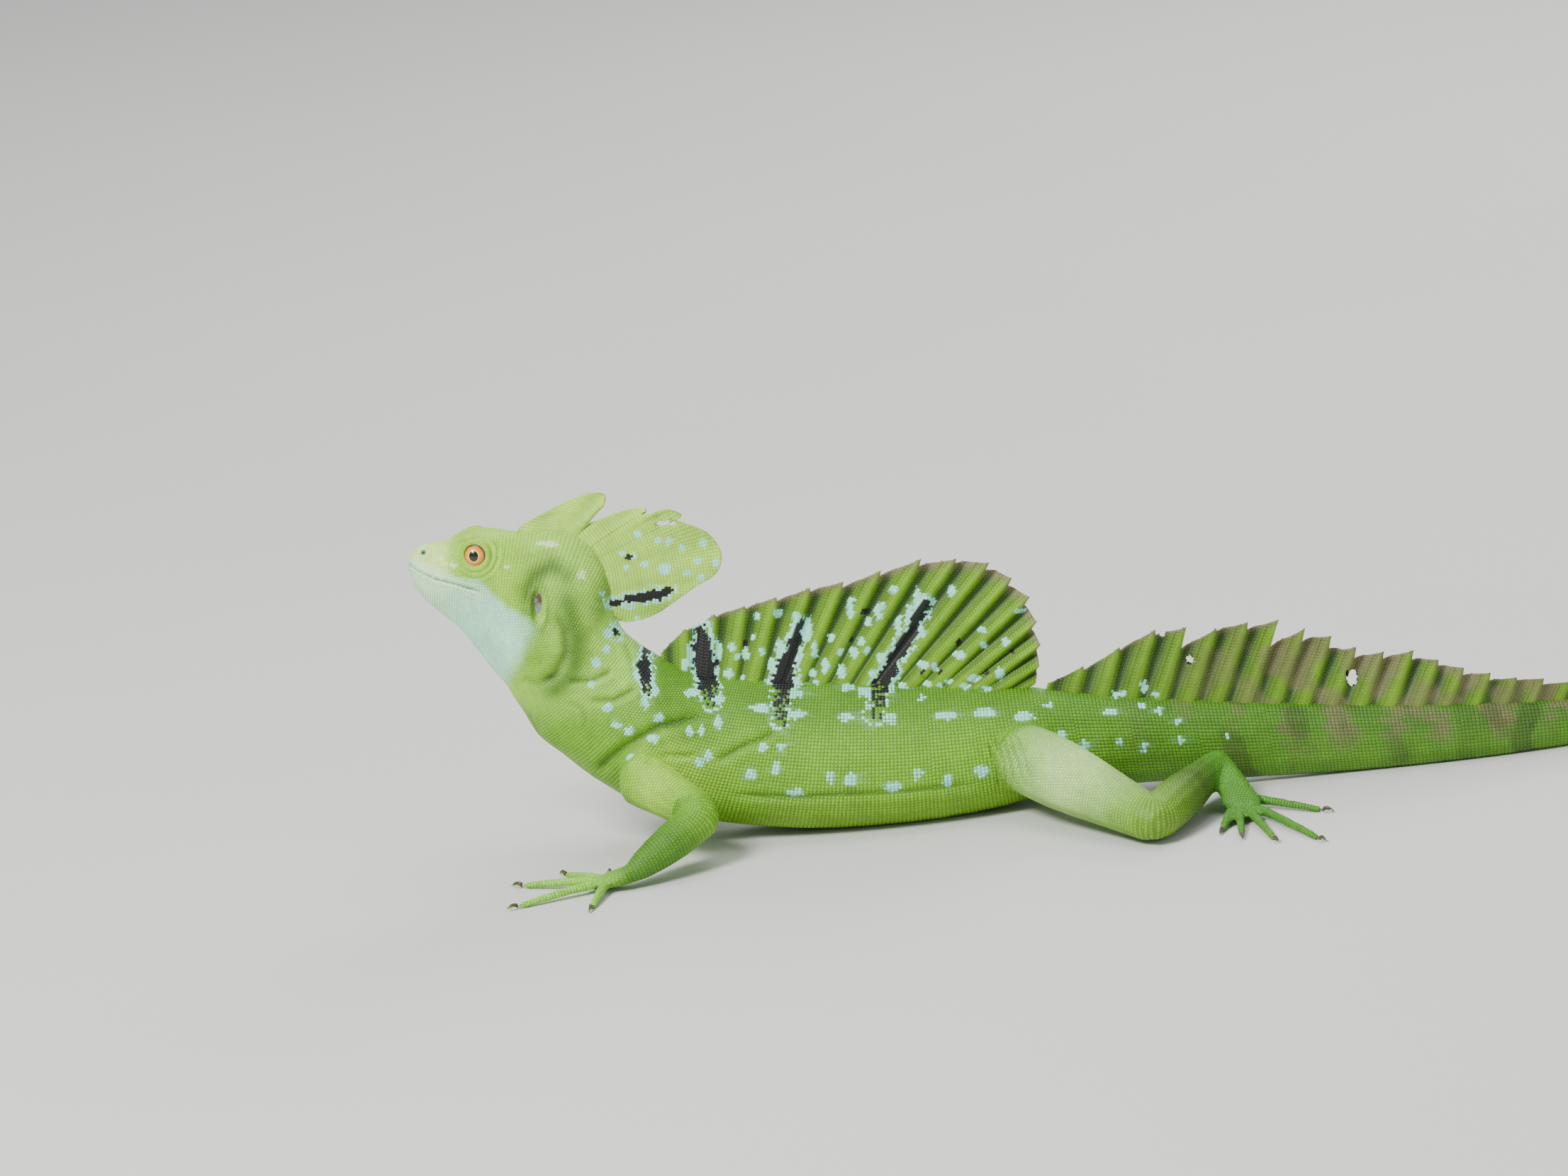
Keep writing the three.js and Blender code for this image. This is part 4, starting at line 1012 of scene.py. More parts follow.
PAD = scale_template(6, 0.60, 0.43, 0.0)
KEELED = scale_template(4, 0.70, 0.54, 0.2)
PATCH = 0.0024
PATCH_EDGE = 0.004
USUAL_SCALE = 0.0011
HEIGHT_RANGE = (0.85, 1.2)
TONE_RANGE = (0.92, 1.08)
JITTER = 0.02
# Painted shade at the feet of the scales, for each metre of their height, and a painted highlight on their
# crowns.
GROOVE_PAINTED_SHADE = 2200
CROWN_PAINTED_LIGHT = 1.10


def coat(name, scales, height, material, slot, seed, crest=None, template=PAD):
    """Joins one copy of the template per scale into a piece, each scale in its own colour."""
    rng = np.random.default_rng(seed)
    template_corners, template_faces = template
    roots, normals, rearward = scales[:, 0:3], scales[:, 3:6], scales[:, 6:9]
    length, width, along, around = scales[:, 9:13].T
    normals = normals / np.linalg.norm(normals, axis=1)[:, None]
    rearward = rearward - (rearward * normals).sum(1)[:, None] * normals
    rearward /= np.linalg.norm(rearward, axis=1)[:, None] + 1e-12
    aside = np.cross(normals, rearward)
    chance = rng.uniform(size=len(scales))
    size = (np.minimum(length, width) / USUAL_SCALE) ** 0.6
    high = height * rng.uniform(*HEIGHT_RANGE, len(scales)) * size
    jitter = rng.normal(0, JITTER, (len(scales), 2))
    along_part = (template_corners[None, :, 0] + jitter[:, :1]) * length[:, None]
    aside_part = (template_corners[None, :, 1] + jitter[:, 1:]) * width[:, None]
    up_part = template_corners[None, :, 2] * high[:, None]
    corners = (
        roots[:, None, :]
        + along_part[..., None] * rearward[:, None, :]
        + aside_part[..., None] * aside[:, None, :]
        + up_part[..., None] * normals[:, None, :]
    ).reshape(-1, 3)
    corners[:, 2] = np.maximum(corners[:, 2], 0.0)
    steps = len(template_corners) * np.arange(len(scales))
    faces = (template_faces[None] + steps[:, None, None]).reshape(-1, 3)
    mesh = bpy.data.meshes.new(name)
    mesh.from_pydata(corners, [], faces)
    own = markings_and_painted_light(roots, chance, crest) * rng.uniform(*TONE_RANGE, len(scales))[:, None]
    # Painted shade on the foot of each scale, deeper for higher scales, and a painted highlight on its
    # crown.
    rise_of_corner = template_corners[:, 2]
    painted_shading = np.where(rise_of_corner > 0, 1.0, 1 - height * GROOVE_PAINTED_SHADE)
    painted_shading = np.where(rise_of_corner > 1.08, CROWN_PAINTED_LIGHT, painted_shading)
    paint(mesh, (own[:, None, :] * painted_shading[None, :, None]).reshape(-1, 3))
    run = (along - along.min()) / max(np.ptp(along), 1e-9)
    patches = mesh.uv_layers.new(name="OFBake")
    inside = 1 - 2 * PATCH_EDGE
    u = PATCH_EDGE + inside * run[:, None] + template_corners[None, :, 0] * PATCH
    v = PATCH_EDGE + inside * (around % 1.0)[:, None] + template_corners[None, :, 1] * PATCH
    corner_uv = np.stack([u, v], -1).reshape(-1, 2)
    patches.data.foreach_set("uv", corner_uv[faces.ravel()].ravel())
    mesh.materials.append(material)
    mesh.shade_smooth()
    mesh.update()
    piece = bpy.data.objects.new(name, mesh)
    bpy.context.scene.collection.objects.link(piece)
    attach(piece, "root")
    return piece


scale_material = hide_material("scales", 0.47, 0.25, 0.14)
EYE_CLEAR = 0.0070
LIP_CLEAR = 4.6
NOSTRIL_CLEAR = 0.00095
FACE_TO = -0.09


def off_axis_of_eye(roots):
    """Distance of points from the line of sight of the eye on their side, or far where they are inside."""
    mirrored = roots - origin
    mirrored[:, 1] = np.abs(mirrored[:, 1])
    apart = mirrored - np.array((EYE_CENTRE.x, -EYE_CENTRE.y, EYE_CENTRE.z))
    forward = apart @ gaze
    return np.where(forward > 0, np.linalg.norm(apart - forward[:, None] * gaze, axis=1), 1.0)


def bare(roots):
    """Which roots lie on lids, lips or nostrils, which have scales of their own, or none."""
    from_nostril = (roots - origin - NOSTRIL)[:, (0, 2)]
    found = off_axis_of_eye(roots) < EYE_CLEAR
    found |= distance_to_line(pixel(roots), MOUTH)[0] < LIP_CLEAR
    found |= np.linalg.norm(from_nostril, axis=1) < NOSTRIL_CLEAR
    return found & (roots[:, 0] - origin[0] < FACE_TO)


core_scales = set_on_hide(core_scales, HIDE_REACH)
core_scales = core_scales[~bare(core_scales[:, :3])]

# Name, end of the stretch in x, height of the scales, slot and template.
BODY_COATS = [
    ("scales_head", -0.085, 0.00009, "face_skin", PAD),
    ("scales_neck", -0.045, 0.00013, "skin", PAD),
    ("scales_chest", 0.000, 0.00015, "skin", PAD),
    ("scales_flank", 0.060, 0.00015, "skin", PAD),
    ("scales_tail_base", 0.200, 0.00012, "skin", KEELED),
    ("scales_tail", 1.0, 0.00012, "skin", KEELED),
]
starts_at = -1.0
for seed, (name, ends_at, height, slot, template) in enumerate(BODY_COATS):
    x = core_scales[:, 0] - origin[0]
    own_scales = core_scales[(x >= starts_at) & (x < ends_at)]
    coat(name, own_scales, height, scale_material, slot, 20 + seed, template=template)
    starts_at = ends_at

# Scales of the lids and lips: rings of fine granules round each eye, and a row of thin, nearly flat
# plates above and below the mouth.
LID_RING_RADII = [0.00385, 0.0044, 0.0050, 0.0056, 0.0062, 0.0067]
GRANULE = 0.00060
LIP_PLATE = 0.00105
LIP_PLATE_SIZE = (1.18 * LIP_PLATE, 0.00100)
LIP_ROW_OFFSET = 3.0
LIP_ROW_LEAN = 1.5
LIP_ROW_SHARE = 1.06
LIP_REARWARD = (1, 0, -0.35)
face_scales = []
for side in SIDES.values():
    sight = gaze_of(side)
    frame_of_eye = sight.to_track_quat("Z", "Y").to_matrix()
    centre = eye_centre(side)
    for ring_number, radius in enumerate(LID_RING_RADII):
        total = round(2 * math.pi * radius / GRANULE)
        for i in range(total):
            angle = 2 * math.pi * (i + 0.5 * (ring_number % 2)) / total
            ray = frame_of_eye @ Vector((math.cos(angle), math.sin(angle), 0))
            start = centre + ray * radius + sight * 0.012
            hit, normal, _, _ = skin_tree.ray_cast(start, -sight, 0.02)
            if hit:
                place = (radius - 0.003) * 8 + side * 0.2 + 0.5
                sizes = (GRANULE, 2 * math.pi * radius / total)
                face_scales.append((*hit, *normal, *ray, *sizes, place, i / total))


def on_left_side(across, down):
    """The point of the hide behind a pixel of the photograph, and the hide's direction there."""
    zoom = camera_data.lens / SENSOR_WIDTH * PHOTO_WIDTH
    ray = Vector(((across - PHOTO_WIDTH / 2) / zoom, (PHOTO_HEIGHT / 2 - down) / zoom, -1.0))
    start = camera.matrix_world.translation
    hit, normal, _, _ = skin_tree.ray_cast(start, (camera.matrix_world.to_3x3() @ ray).normalized())
    return hit, normal


def mirrored(hit):
    """The point of the hide on the other side of the body."""
    return skin_tree.find_nearest(Vector((hit.x, 2 * middle.y - hit.y, hit.z)))[:2]


mouth = np.array(MOUTH, float)
mouth_walk = walked_along(mouth)
plates = round(mouth_walk[-1] * METRES_PER_PIXEL / LIP_PLATE)
for row in (-1, 1):
    for i in range(plates + 1):
        at = (i + 1.0) / (plates + 1) * mouth_walk[-1] * LIP_ROW_SHARE
        across, down = [np.interp(at, mouth_walk, column) for column in mouth.T]
        hit, normal = on_left_side(across + row * LIP_ROW_LEAN, down + row * LIP_ROW_OFFSET)
        if hit is None:
            continue
        for found, outward in ((hit, normal), mirrored(hit)):
            unwrapped = (0.02 + 0.01 * row, i / plates * 0.9)
            face_scales.append((*found, *outward, *LIP_REARWARD, *LIP_PLATE_SIZE, *unwrapped))
coat("scales_lids_and_lips", np.array(face_scales), 0.00006, scale_material, "face_skin", 31)

# Scales of the limbs: rings of pads round thigh, shank, arm and each finger or toe, set on the hide
# like those of the body. The digits have narrow bands of broader scales.
ARM_JOINTS = {
    "left": [(-0.073, -0.013, 0.028), (-0.0495, -0.038, 0.017), (-0.074, -0.053, 0.005),
             (-0.087, -0.0515, 0.003)],
    "right": [(-0.070, 0.013, 0.028), (-0.038, 0.037, 0.020), (-0.037, 0.061, 0.0055),
              (-0.049, 0.067, 0.003)],
}
LEG_JOINTS = {
    "left": [(0.050, -0.008, 0.020), (0.091, -0.063, 0.0076), (0.115, -0.017, 0.0115),
             (0.122, -0.046, 0.003)],
    "right": [(0.050, 0.008, 0.020), (0.082, 0.062, 0.0076), (0.108, 0.020, 0.011),
              (0.118, 0.049, 0.003)],
}
PALMS = {"left": (-0.082, -0.052), "right": (-0.044, 0.065)}
PALM_REACH = 0.0024
HAND_POINTS = {"left": math.radians(176), "right": math.radians(160)}
FOOT_POINTS = {"left": math.radians(-80), "right": math.radians(74)}
HAND_DIGITS = [(0.014, -88), (0.022, -52), (0.028, -20), (0.029, 26), (0.020, 80)]
FOOT_DIGITS = [(0.016, -26), (0.024, -12), (0.033, 2), (0.042, 16), (0.031, 46)]
TOE_STARTS = [(1, -0.9), (1, -0.45), (1, 0), (1, 0.5), (0.5, 0.4)]
ANKLES = {"left": ((0.115, -0.017), (0.121, -0.042)), "right": ((0.108, 0.020), (0.117, 0.045))}
SOLE_WIDTH = 0.005
DIGIT_RADIUS = 0.0017
DIGIT_PROFILE = [(0.0, 0.0028), (0.35, 0.0026), (0.7, 0.0017), (1.0, 0.0008)]
LIMB_GAP = 0.00114
DIGIT_GAP = 0.00105
LIMB_RAYS = 40
DIGIT_RAYS = 16
LIMB_REACH = 0.016
LIMB_VOXEL = 0.0008
LIMB_HIDE_REACH = 0.0016
LIMB_SCALE_HEIGHT = 0.00011
HEADING_STEP = 0.004


def digit_lines(limb, side):
    """Start, direction and length in plan of each finger or toe."""
    mirror = -SIDES[side]
    lines = []
    if limb == "arm":
        for length, turn in HAND_DIGITS:
            angle = HAND_POINTS[side] + mirror * math.radians(turn)
            start = Vector(PALMS[side]) + PALM_REACH * Vector((math.cos(angle), math.sin(angle)))
            lines.append((start, angle, length))
        return lines
    ankle, ball = [Vector(point) for point in ANKLES[side]]
    across = FOOT_POINTS[side] + mirror * math.pi / 2
    for (length, turn), (along, aside) in zip(FOOT_DIGITS, TOE_STARTS):
        angle = FOOT_POINTS[side] + mirror * math.radians(turn)
        offset = aside * SOLE_WIDTH * Vector((math.cos(across), math.sin(across)))
        lines.append((ankle.lerp(ball, along) + offset, angle, length))
    return lines


def rings_along(tree, path, gap, rays, reach, start_along):
    """Scales in rings round a path inside a limb, staggered from ring to ring."""
    path = [Vector(point) for point in path]
    fine = through(path, np.linspace(0, 1, 200))
    walked = walked_along(fine)
    scales = []
    count = 0
    for number, at in enumerate(np.arange(gap / 2, walked[-1], gap)):
        before, here, there = (
            Vector([float(np.interp(at + step, walked, fine[:, axis])) for axis in range(3)])
            for step in (-HEADING_STEP, 0, HEADING_STEP)
        )
        forward = (there - before).normalized()
        out = forward.cross(Vector((0, 0, 1))).normalized()
        up = out.cross(forward)
        ring = ring_round(tree, middle + here, up, out, rays, reach)
        if len(ring) < rays * 0.5:
            continue
        points, shares, count, width = spaced(ring, gap, count, 0.5 * (number % 2))
        for point, share in zip(points, shares):
            scales.append((point, forward, gap, width, start_along + at, share))
    return scales


seed = 40
for side in SIDES:
    for limb, joints in (("arm", ARM_JOINTS), ("leg", LEG_JOINTS)):
        nodes_of_limb = [f"{part}_{side}" for part in LIMB_PARTS[limb]]
        whole_limb = remeshed(nodes_of_limb, "limb", LIMB_VOXEL)
        limb_tree = BVHTree.FromObject(whole_limb, bpy.context.evaluated_depsgraph_get())
        bpy.data.objects.remove(whole_limb)
        scales = []
        run = 0.1
        for start, angle, length in digit_lines(limb, side):
            line = [
                (start.x + math.cos(angle) * share * length, start.y + math.sin(angle) * share * length, z)
                for share, z in DIGIT_PROFILE
            ]
            scales += rings_along(limb_tree, line, DIGIT_GAP, DIGIT_RAYS, 1.7 * DIGIT_RADIUS, run)
            run += 0.05
        scales += rings_along(limb_tree, joints[side], LIMB_GAP, LIMB_RAYS, LIMB_REACH, run + 0.05)
        scales = set_on_hide(scales, LIMB_HIDE_REACH)
        seed += 1
        coat(f"scales_{limb}_{side}", scales, LIMB_SCALE_HEIGHT, scale_material, "skin", seed)

# Scales of the folds: where folds and the roots of the limbs spread the rings, smaller scales fill the
# hide between them, wherever one has room.
FOLD_ROOM = 0.88
FOLD_SCALE = 0.92
FOLD_SCALE_HEIGHT = 0.00010
skin_places = points_of(skin.data)
unfilled = ~bare(skin_places) & (skin_places[:, 2] > 0.001)
fold_scales = []
for place, normal in zip(skin_places[unfilled], normals_of(skin.data)[unfilled]):
    x, y, z = place - origin
    gap = float(along_line(SCALE_GAPS, x))
    if takes_room(Vector(place), FOLD_ROOM * gap):
        turn = float(heading(np.array(x)))
        rearward = (math.cos(turn), math.sin(turn), 0)
        size = FOLD_SCALE * gap
        around = math.atan2(y, z - 0.02) / math.tau + 0.5
        fold_scales.append((*place, *normal, *rearward, size, size, x, around))
coat("scales_folds", np.array(fold_scales), FOLD_SCALE_HEIGHT, scale_material, "skin", 50)

# Claws: one dark, thin, curved hook of horn on each finger and toe.
CLAW_LENGTH = 0.0038
CLAW_RADIUS = 0.00078
CLAW_STEPS = 8
CLAW_TIP_SHARE = 0.08
CLAW_ARCH = 0.0007
CLAW_DROP = 0.00045
CLAW_ROOT_DEPTH = 0.0004
CLAW_ROOT_HEIGHT = 0.00115
CLAW_TONES = [(44, 34, 22), (96, 82, 54)]
claws_shape = bmesh.new()
for side in SIDES:
    for limb in LIMB_PARTS:
        for start, angle, length in digit_lines(limb, side):
            claw = bmesh.new()
            tip = CLAW_RADIUS * CLAW_TIP_SHARE
            bmesh.ops.create_cone(
                claw, cap_ends=True, segments=10, radius1=CLAW_RADIUS, radius2=tip, depth=CLAW_LENGTH
            )
            long_edges = [edge for edge in claw.edges if edge.calc_length() > 0.5 * CLAW_LENGTH]
            bmesh.ops.subdivide_edges(claw, edges=long_edges, cuts=CLAW_STEPS, use_grid_fill=True)
            for vertex in claw.verts:
                share = vertex.co.z / CLAW_LENGTH + 0.5
                arch = CLAW_ARCH * math.sin(share * math.pi) - CLAW_DROP * share**2
                vertex.co = Vector((vertex.co.z + CLAW_LENGTH / 2, vertex.co.y, vertex.co.x + arch))
            reach = (length - CLAW_ROOT_DEPTH) * Vector((math.cos(angle), math.sin(angle)))
            root = Vector((*(start + reach), CLAW_ROOT_HEIGHT))
            place = Matrix.Translation(middle + root) @ Matrix.Rotation(angle, 4, "Z")
            bmesh.ops.transform(claw, verts=claw.verts, matrix=place)
            bmesh.ops.recalc_face_normals(claw, faces=claw.faces)
            for vertex in claw.verts:
                vertex.co.z = max(vertex.co.z, 0.00008)
            one = bpy.data.meshes.new("claw")
            claw.to_mesh(one)
            claw.free()
            claws_shape.from_mesh(one)
            bpy.data.meshes.remove(one)
claws = object_from(claws_shape, "claws")
claws.data.shade_smooth()
claws.data.materials.append(two_toned("claw_horn", 0.3, 1500.0, CLAW_TONES))
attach(claws, "root")

# Eyes: glossy balls with an orange-gold iris, a bright ring round an upright pupil, and a dark rim.
PUPIL_HALF_WIDTH = 0.00145
PUPIL_HALF_HEIGHT = 0.00170
PUPIL_EDGE = 0.96
PUPIL_BLACK = srgb(6, 6, 8)
PUPIL_RING = srgb(255, 228, 70)
RING_SHARES = (1.06, 1.22)
CORNEA_RISE = 0.0003
CORNEA_SPREAD = 0.0028
IRIS_RADIUS = 0.0034
IRIS_COLOURS = [
    (0.30, srgb(255, 210, 16)), (0.60, srgb(246, 170, 0)), (0.84, srgb(226, 132, 0)),
    (0.94, srgb(140, 76, 4)), (1.0, srgb(16, 12, 8)),
]


def ramp(tree, factor, stops):
    """Colours through stops, each a share and a colour."""
    made = node(tree, "ValToRGB", {"Fac": factor})
    elements = made.color_ramp.elements
    while len(elements) < len(stops):
        elements.new(0.5)
    for element, (share, colour) in zip(elements, stops):
        element.position = share
        element.color = (*colour, 1)
    return made.outputs["Color"]


def iris_material(side, word):
    """A glossy iris with fine spokes, centred on the line of sight."""
    material, tree, shader = new_material(f"iris_{word}", 0.25)
    shader.inputs["Coat Weight"].default_value = 0.7
    shader.inputs["Coat Roughness"].default_value = 0.03
    place = node(tree, "TexCoord", {}).outputs["Object"]
    sight = gaze_of(side).to_track_quat("Z", "Y").to_euler()
    given = {"Vector": place, "Location": eye_centre(side), "Rotation": sight}
    turned = node(tree, "Mapping", given, vector_type="TEXTURE").outputs["Vector"]

    def reach(width, height):
        """Distance from the line of sight, in shares of a width and a height, and both shares."""
        scale = (1 / width, 1 / height, 0)
        flat = node(tree, "VectorMath", {0: turned, 1: scale}, operation="MULTIPLY").outputs["Vector"]
        return node(tree, "VectorMath", {0: flat}, operation="LENGTH").outputs["Value"], flat

    from_middle, flat = reach(IRIS_RADIUS, IRIS_RADIUS)
    colours = ramp(tree, from_middle, IRIS_COLOURS)
    spoke = node(tree, "VectorMath", {0: flat}, operation="NORMALIZE").outputs["Vector"]
    streaks = node(tree, "TexNoise", {"Vector": spoke, "Scale": 9.0, "Detail": 4.0}).outputs["Fac"]
    light = node(tree, "MapRange", {"Value": streaks, "To Min": 0.65, "To Max": 1.35}).outputs["Result"]
    streaked = node(tree, "HueSaturation", {"Color": colours, "Value": light}).outputs["Color"]
    from_pupil, _ = reach(PUPIL_HALF_WIDTH, PUPIL_HALF_HEIGHT)
    edge = node(tree, "Math", {0: from_pupil, 1: PUPIL_EDGE}, operation="MULTIPLY").outputs[0]
    ring = ramp(tree, edge, [(PUPIL_EDGE, PUPIL_BLACK), (1.0, PUPIL_RING)])
    given = {"Value": from_pupil, "From Min": RING_SHARES[0], "From Max": RING_SHARES[1]}
    beyond = node(tree, "MapRange", given).outputs["Result"]
    whole = node(tree, "Mix", {"Factor": beyond, "A": ring, "B": streaked}, data_type="RGBA")
    tree.links.new(whole.outputs["Result"], shader.inputs["Base Color"])
    return material


for word, side in SIDES.items():
    shape = bmesh.new()
    bmesh.ops.create_uvsphere(shape, u_segments=64, v_segments=40, radius=EYE_RADIUS)
    for vertex in shape.verts:
        if vertex.co.z > 0:
            from_sight = math.hypot(vertex.co.x, vertex.co.y)
            vertex.co.z += CORNEA_RISE * float(bell(from_sight, CORNEA_SPREAD))
    turn = gaze_of(side).to_track_quat("Z", "Y").to_matrix().to_4x4()
    bmesh.ops.transform(shape, matrix=Matrix.Translation(eye_centre(side)) @ turn, verts=shape.verts)
    eye = object_from(shape, f"eyeball_{word}")
    eye.data.shade_smooth()
    eye.data.materials.append(iris_material(side, word))
    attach(eye, "root")
    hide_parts(f"eye_{word}")

# Eardrums: a thin oval of bare, pearly skin, sunk in a shallow cup behind the jaw on each side.
EARDRUM_HALF = (0.00175, 0.0009, 0.0043)
EARDRUM_COLOURS = [(0.42, srgb(84, 74, 48)), (0.6, srgb(138, 148, 134))]
ear_material, tree, shader = new_material("eardrum", 0.35)
ear_place = node(tree, "TexCoord", {}).outputs["Object"]
ear_tone = node(tree, "TexNoise", {"Vector": ear_place, "Scale": 260.0}).outputs["Fac"]
tree.links.new(ramp(tree, ear_tone, EARDRUM_COLOURS), shader.inputs["Base Color"])
for word, side in SIDES.items():
    seat = middle + Vector((EAR[0], side * EAR[1], EAR[2]))
    hit, normal, _, _ = skin_tree.ray_cast(seat + Vector((0, side * 0.01, 0)), Vector((0, -side, 0)), 0.03)
    shape = bmesh.new()
    bmesh.ops.create_uvsphere(shape, u_segments=32, v_segments=20, radius=1.0)
    bmesh.ops.scale(shape, vec=EARDRUM_HALF, verts=shape.verts)
    tilt = Matrix.Rotation(math.radians(6), 4, "Y")
    bmesh.ops.transform(shape, matrix=Matrix.Translation(hit) @ tilt, verts=shape.verts)
    eardrum = object_from(shape, f"eardrum_{word}")
    eardrum.data.shade_smooth()
    eardrum.data.materials.append(ear_material)
    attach(eardrum, "root")

# Head crests: a blunt lobe of skin that leans back over the crown, and behind it a broad rounded sail
# on the back of the head, thick at its foot. Both are covered with small flat scales.
FRONT_CREST_ROOT = [(-0.1000, 0.1030), (-0.0900, 0.1022), (-0.0815, 0.1018)]
FRONT_CREST_MARGIN = [
    (-0.0992, 0.1072), (-0.0960, 0.1092), (-0.0910, 0.1112), (-0.0830, 0.1144), (-0.0755, 0.1163),
    (-0.0712, 0.1154), (-0.0716, 0.1126), (-0.0755, 0.1100), (-0.0806, 0.1080),
]
FRONT_CREST_HALF = 0.0017
FRONT_MARGIN_HALF = 0.0004
HEAD_CREST_GAP = 0.00100
HEAD_CREST_SCALE_HEIGHT = 0.00006
HIDDEN_WITHIN = 0.0002
MARGIN_DARKENING = 0.12
NEXT_COLUMN = 0.004
REAR_TEARS = [(940, 738, 13, 3), (930, 739, 4, 4)]


def front_crest(u, v):
    """Middle and half thickness of the front head crest, from its root to its margin."""
    root = through(FRONT_CREST_ROOT, u)
    flat = root + (through(FRONT_CREST_MARGIN, u) - root) * v[:, None]
    half = FRONT_MARGIN_HALF + (FRONT_CREST_HALF - FRONT_MARGIN_HALF) * (1 - v) ** 1.2
    ripple = 0.0003 * np.sin(u * 23) * v
    return np.stack([flat[:, 0], ripple, flat[:, 1]], 1), half


def head_crest_colours(u, v, places):
    """Green skin that darkens towards the margin."""
    return np.tile(HEAD_CREST, (len(v), 1)) * (1.0 - MARGIN_DARKENING * rise(0.3, 1.0, v))[:, None]


def share_of(mesh, name):
    """A share that each vertex of a sheet carries."""
    values = np.empty(len(mesh.vertices))
    mesh.attributes[name].data.foreach_get("value", values)
    return values


def crest_piece(name, replaced, blade, columns, rows, torn, colours, painted_shading):
    """The skin of a crest in its colours and markings, darkened with painted shade between its scales, in
    the place of its solid.
    """
    crest = sheet(name, columns, rows, blade, torn)
    places = points_of(crest.data)
    base = colours(share_of(crest.data, "share_u"), share_of(crest.data, "share_v"), places)
    # Painted shade: the whole crest skin is darkened so that it reads dark between the scales.
    paint(crest.data, markings_and_painted_light(places, np.full(len(places), 0.5), base) * painted_shading)
    crest.data.materials.append(crest_material)
    crest.data.shade_smooth()
    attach(crest, "root")
    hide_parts(replaced)


def blade_scales(blade, columns_at, gap, torn):
    """Scales over both sides of a blade, in columns from its root to its margin, none over a hole."""
    scales = []
    outward = np.linspace(0.0, 1.0, 60)
    for side in SIDES.values():
        for column in columns_at:
            line, half = blade(np.full(60, column), outward)
            next_line, _ = blade(np.full(60, min(column + NEXT_COLUMN, 1.0)), outward)
            walked = walked_along(line)
            for at in np.arange(gap, walked[-1] - 0.4 * gap, gap):
                place, beyond, beside = (
                    np.array([np.interp(w, walked, points[:, axis]) for axis in range(3)])
                    for w, points in ((at, line), (at + 0.0006, line), (at, next_line))
                )
                forward = beyond - place
                normal = np.cross(beside - place, forward)
                if np.linalg.norm(normal) < 1e-12:
                    continue
                normal *= side * np.sign(normal[1]) / np.linalg.norm(normal)
                root = place + normal * np.interp(at, walked, half) + origin
                scales.append((*root, *normal, *forward, gap, gap, side + column, at / walked[-1]))
    scales = np.array(scales)
    return scales[spotted(pixel(scales[:, :3]), torn, -0.15) < 0.5]


crest_material = hide_material("crest_skin", 0.55, 0.5, 0.22)
for name, replaced, blade, columns, rows, torn, margin in (
    ("front_head_crest", "head_crest_front", front_crest, 90, 30, (), 0.045),
    ("rear_head_crest", "head_crest_rear", rear_crest, 150, 90, REAR_TEARS, 0.075),
):
    crest_piece(name, replaced, blade, columns, rows, torn, head_crest_colours, 0.85)
    columns_at = np.linspace(0.01, 0.99, round(margin / HEAD_CREST_GAP))
    scales = blade_scales(blade, columns_at, HEAD_CREST_GAP, torn)
    distances = [skin_tree.find_nearest(Vector(root))[3] for root in scales[:, :3]]
    scales = scales[np.array(distances) > HIDDEN_WITHIN]
    base = np.tile(HEAD_CREST, (len(scales), 1))
    seed = 60 + len(name)
    coat(f"scales_{name}", scales, HEAD_CREST_SCALE_HEIGHT, scale_material, "crest", seed, base, KEELED)

# Back crest: a tall fan of thin skin on bony rays that lean back more and more. Skin is pleated
# between the rays, each ray is a ridge with painted light on it and painted shade in the folds beside
# it, and behind each tip the margin drops to the next.
BACK_CREST_FROM = -0.0585
BACK_CREST_TO = 0.057
BACK_RAYS = 17
BACK_LENGTHS = [
    (0, 0.0008), (0.03, 0.007), (0.06, 0.0125), (0.13, 0.020), (0.25, 0.028), (0.38, 0.036), (0.5, 0.0465),
    (0.58, 0.0495), (0.65, 0.049), (0.75, 0.041), (0.88, 0.0225), (1, 0.003),
]
BACK_LEAN = (math.radians(0), math.radians(66), 0.85)
BACK_ROOT = 0.0026
COLUMNS_PER_RAY = 14
RIDGE_WARP = 0.72
CREST_GAP = 0.00102
SCALES_PER_RAY = 8
SAIL_SCALE_HEIGHT = 0.00007


def pleats(u, rays):
    """Height of the folded skin at shares of the way along a crest, from -1 in a fold to 1 on a ray."""
    step = u * (rays - 1)
    t = step - np.floor(step + 1e-9)
    main = np.cos(2 * math.pi * np.clip(t, 0, 1) ** RIDGE_WARP)
    second = 0.5 * bell(t - 0.58, 0.09)
    return t, main + second + 0.10 * np.cos(2 * math.pi * 6 * t)


def rayed(u, v, start, end, rays, lengths, lean, root, dips, tips):
    """A point of a rayed crest and its half thickness, before the tail is bent."""
    t, fold = pleats(u, rays)
    number = np.clip(np.ceil(u * (rays - 1) - 1e-6).astype(int), 0, rays - 1)
    behind_tip = np.where(t < 0.02, 0, (1 - t) ** 0.8)
    length = along_line(lengths, u) * tips[number] * (1 - dips[number] * behind_tip)
    x = start + (end - start) * u
    lean_from, lean_to, power = lean
    angle = lean_from + (lean_to - lean_from) * u**power
    distance = v * (length + root) - root
    size = np.minimum(1, length / 0.015)
    sway = 0.0009 * np.sin(u * 11 + 1) * v**2 * size
    y = -(0.0003 + 0.00095 * v**0.8) * size * fold + sway
    z = along_line(BACK_LINE, x) + np.cos(angle) * distance
    half = (0.0019 - 0.0002 * rays / 17) * (1 - v) ** 1.5 * size + 0.00028 + 0.00012 * bell(t, 0.12)
    return bent(np.stack([x + np.sin(angle) * distance, y, z], 1)), half


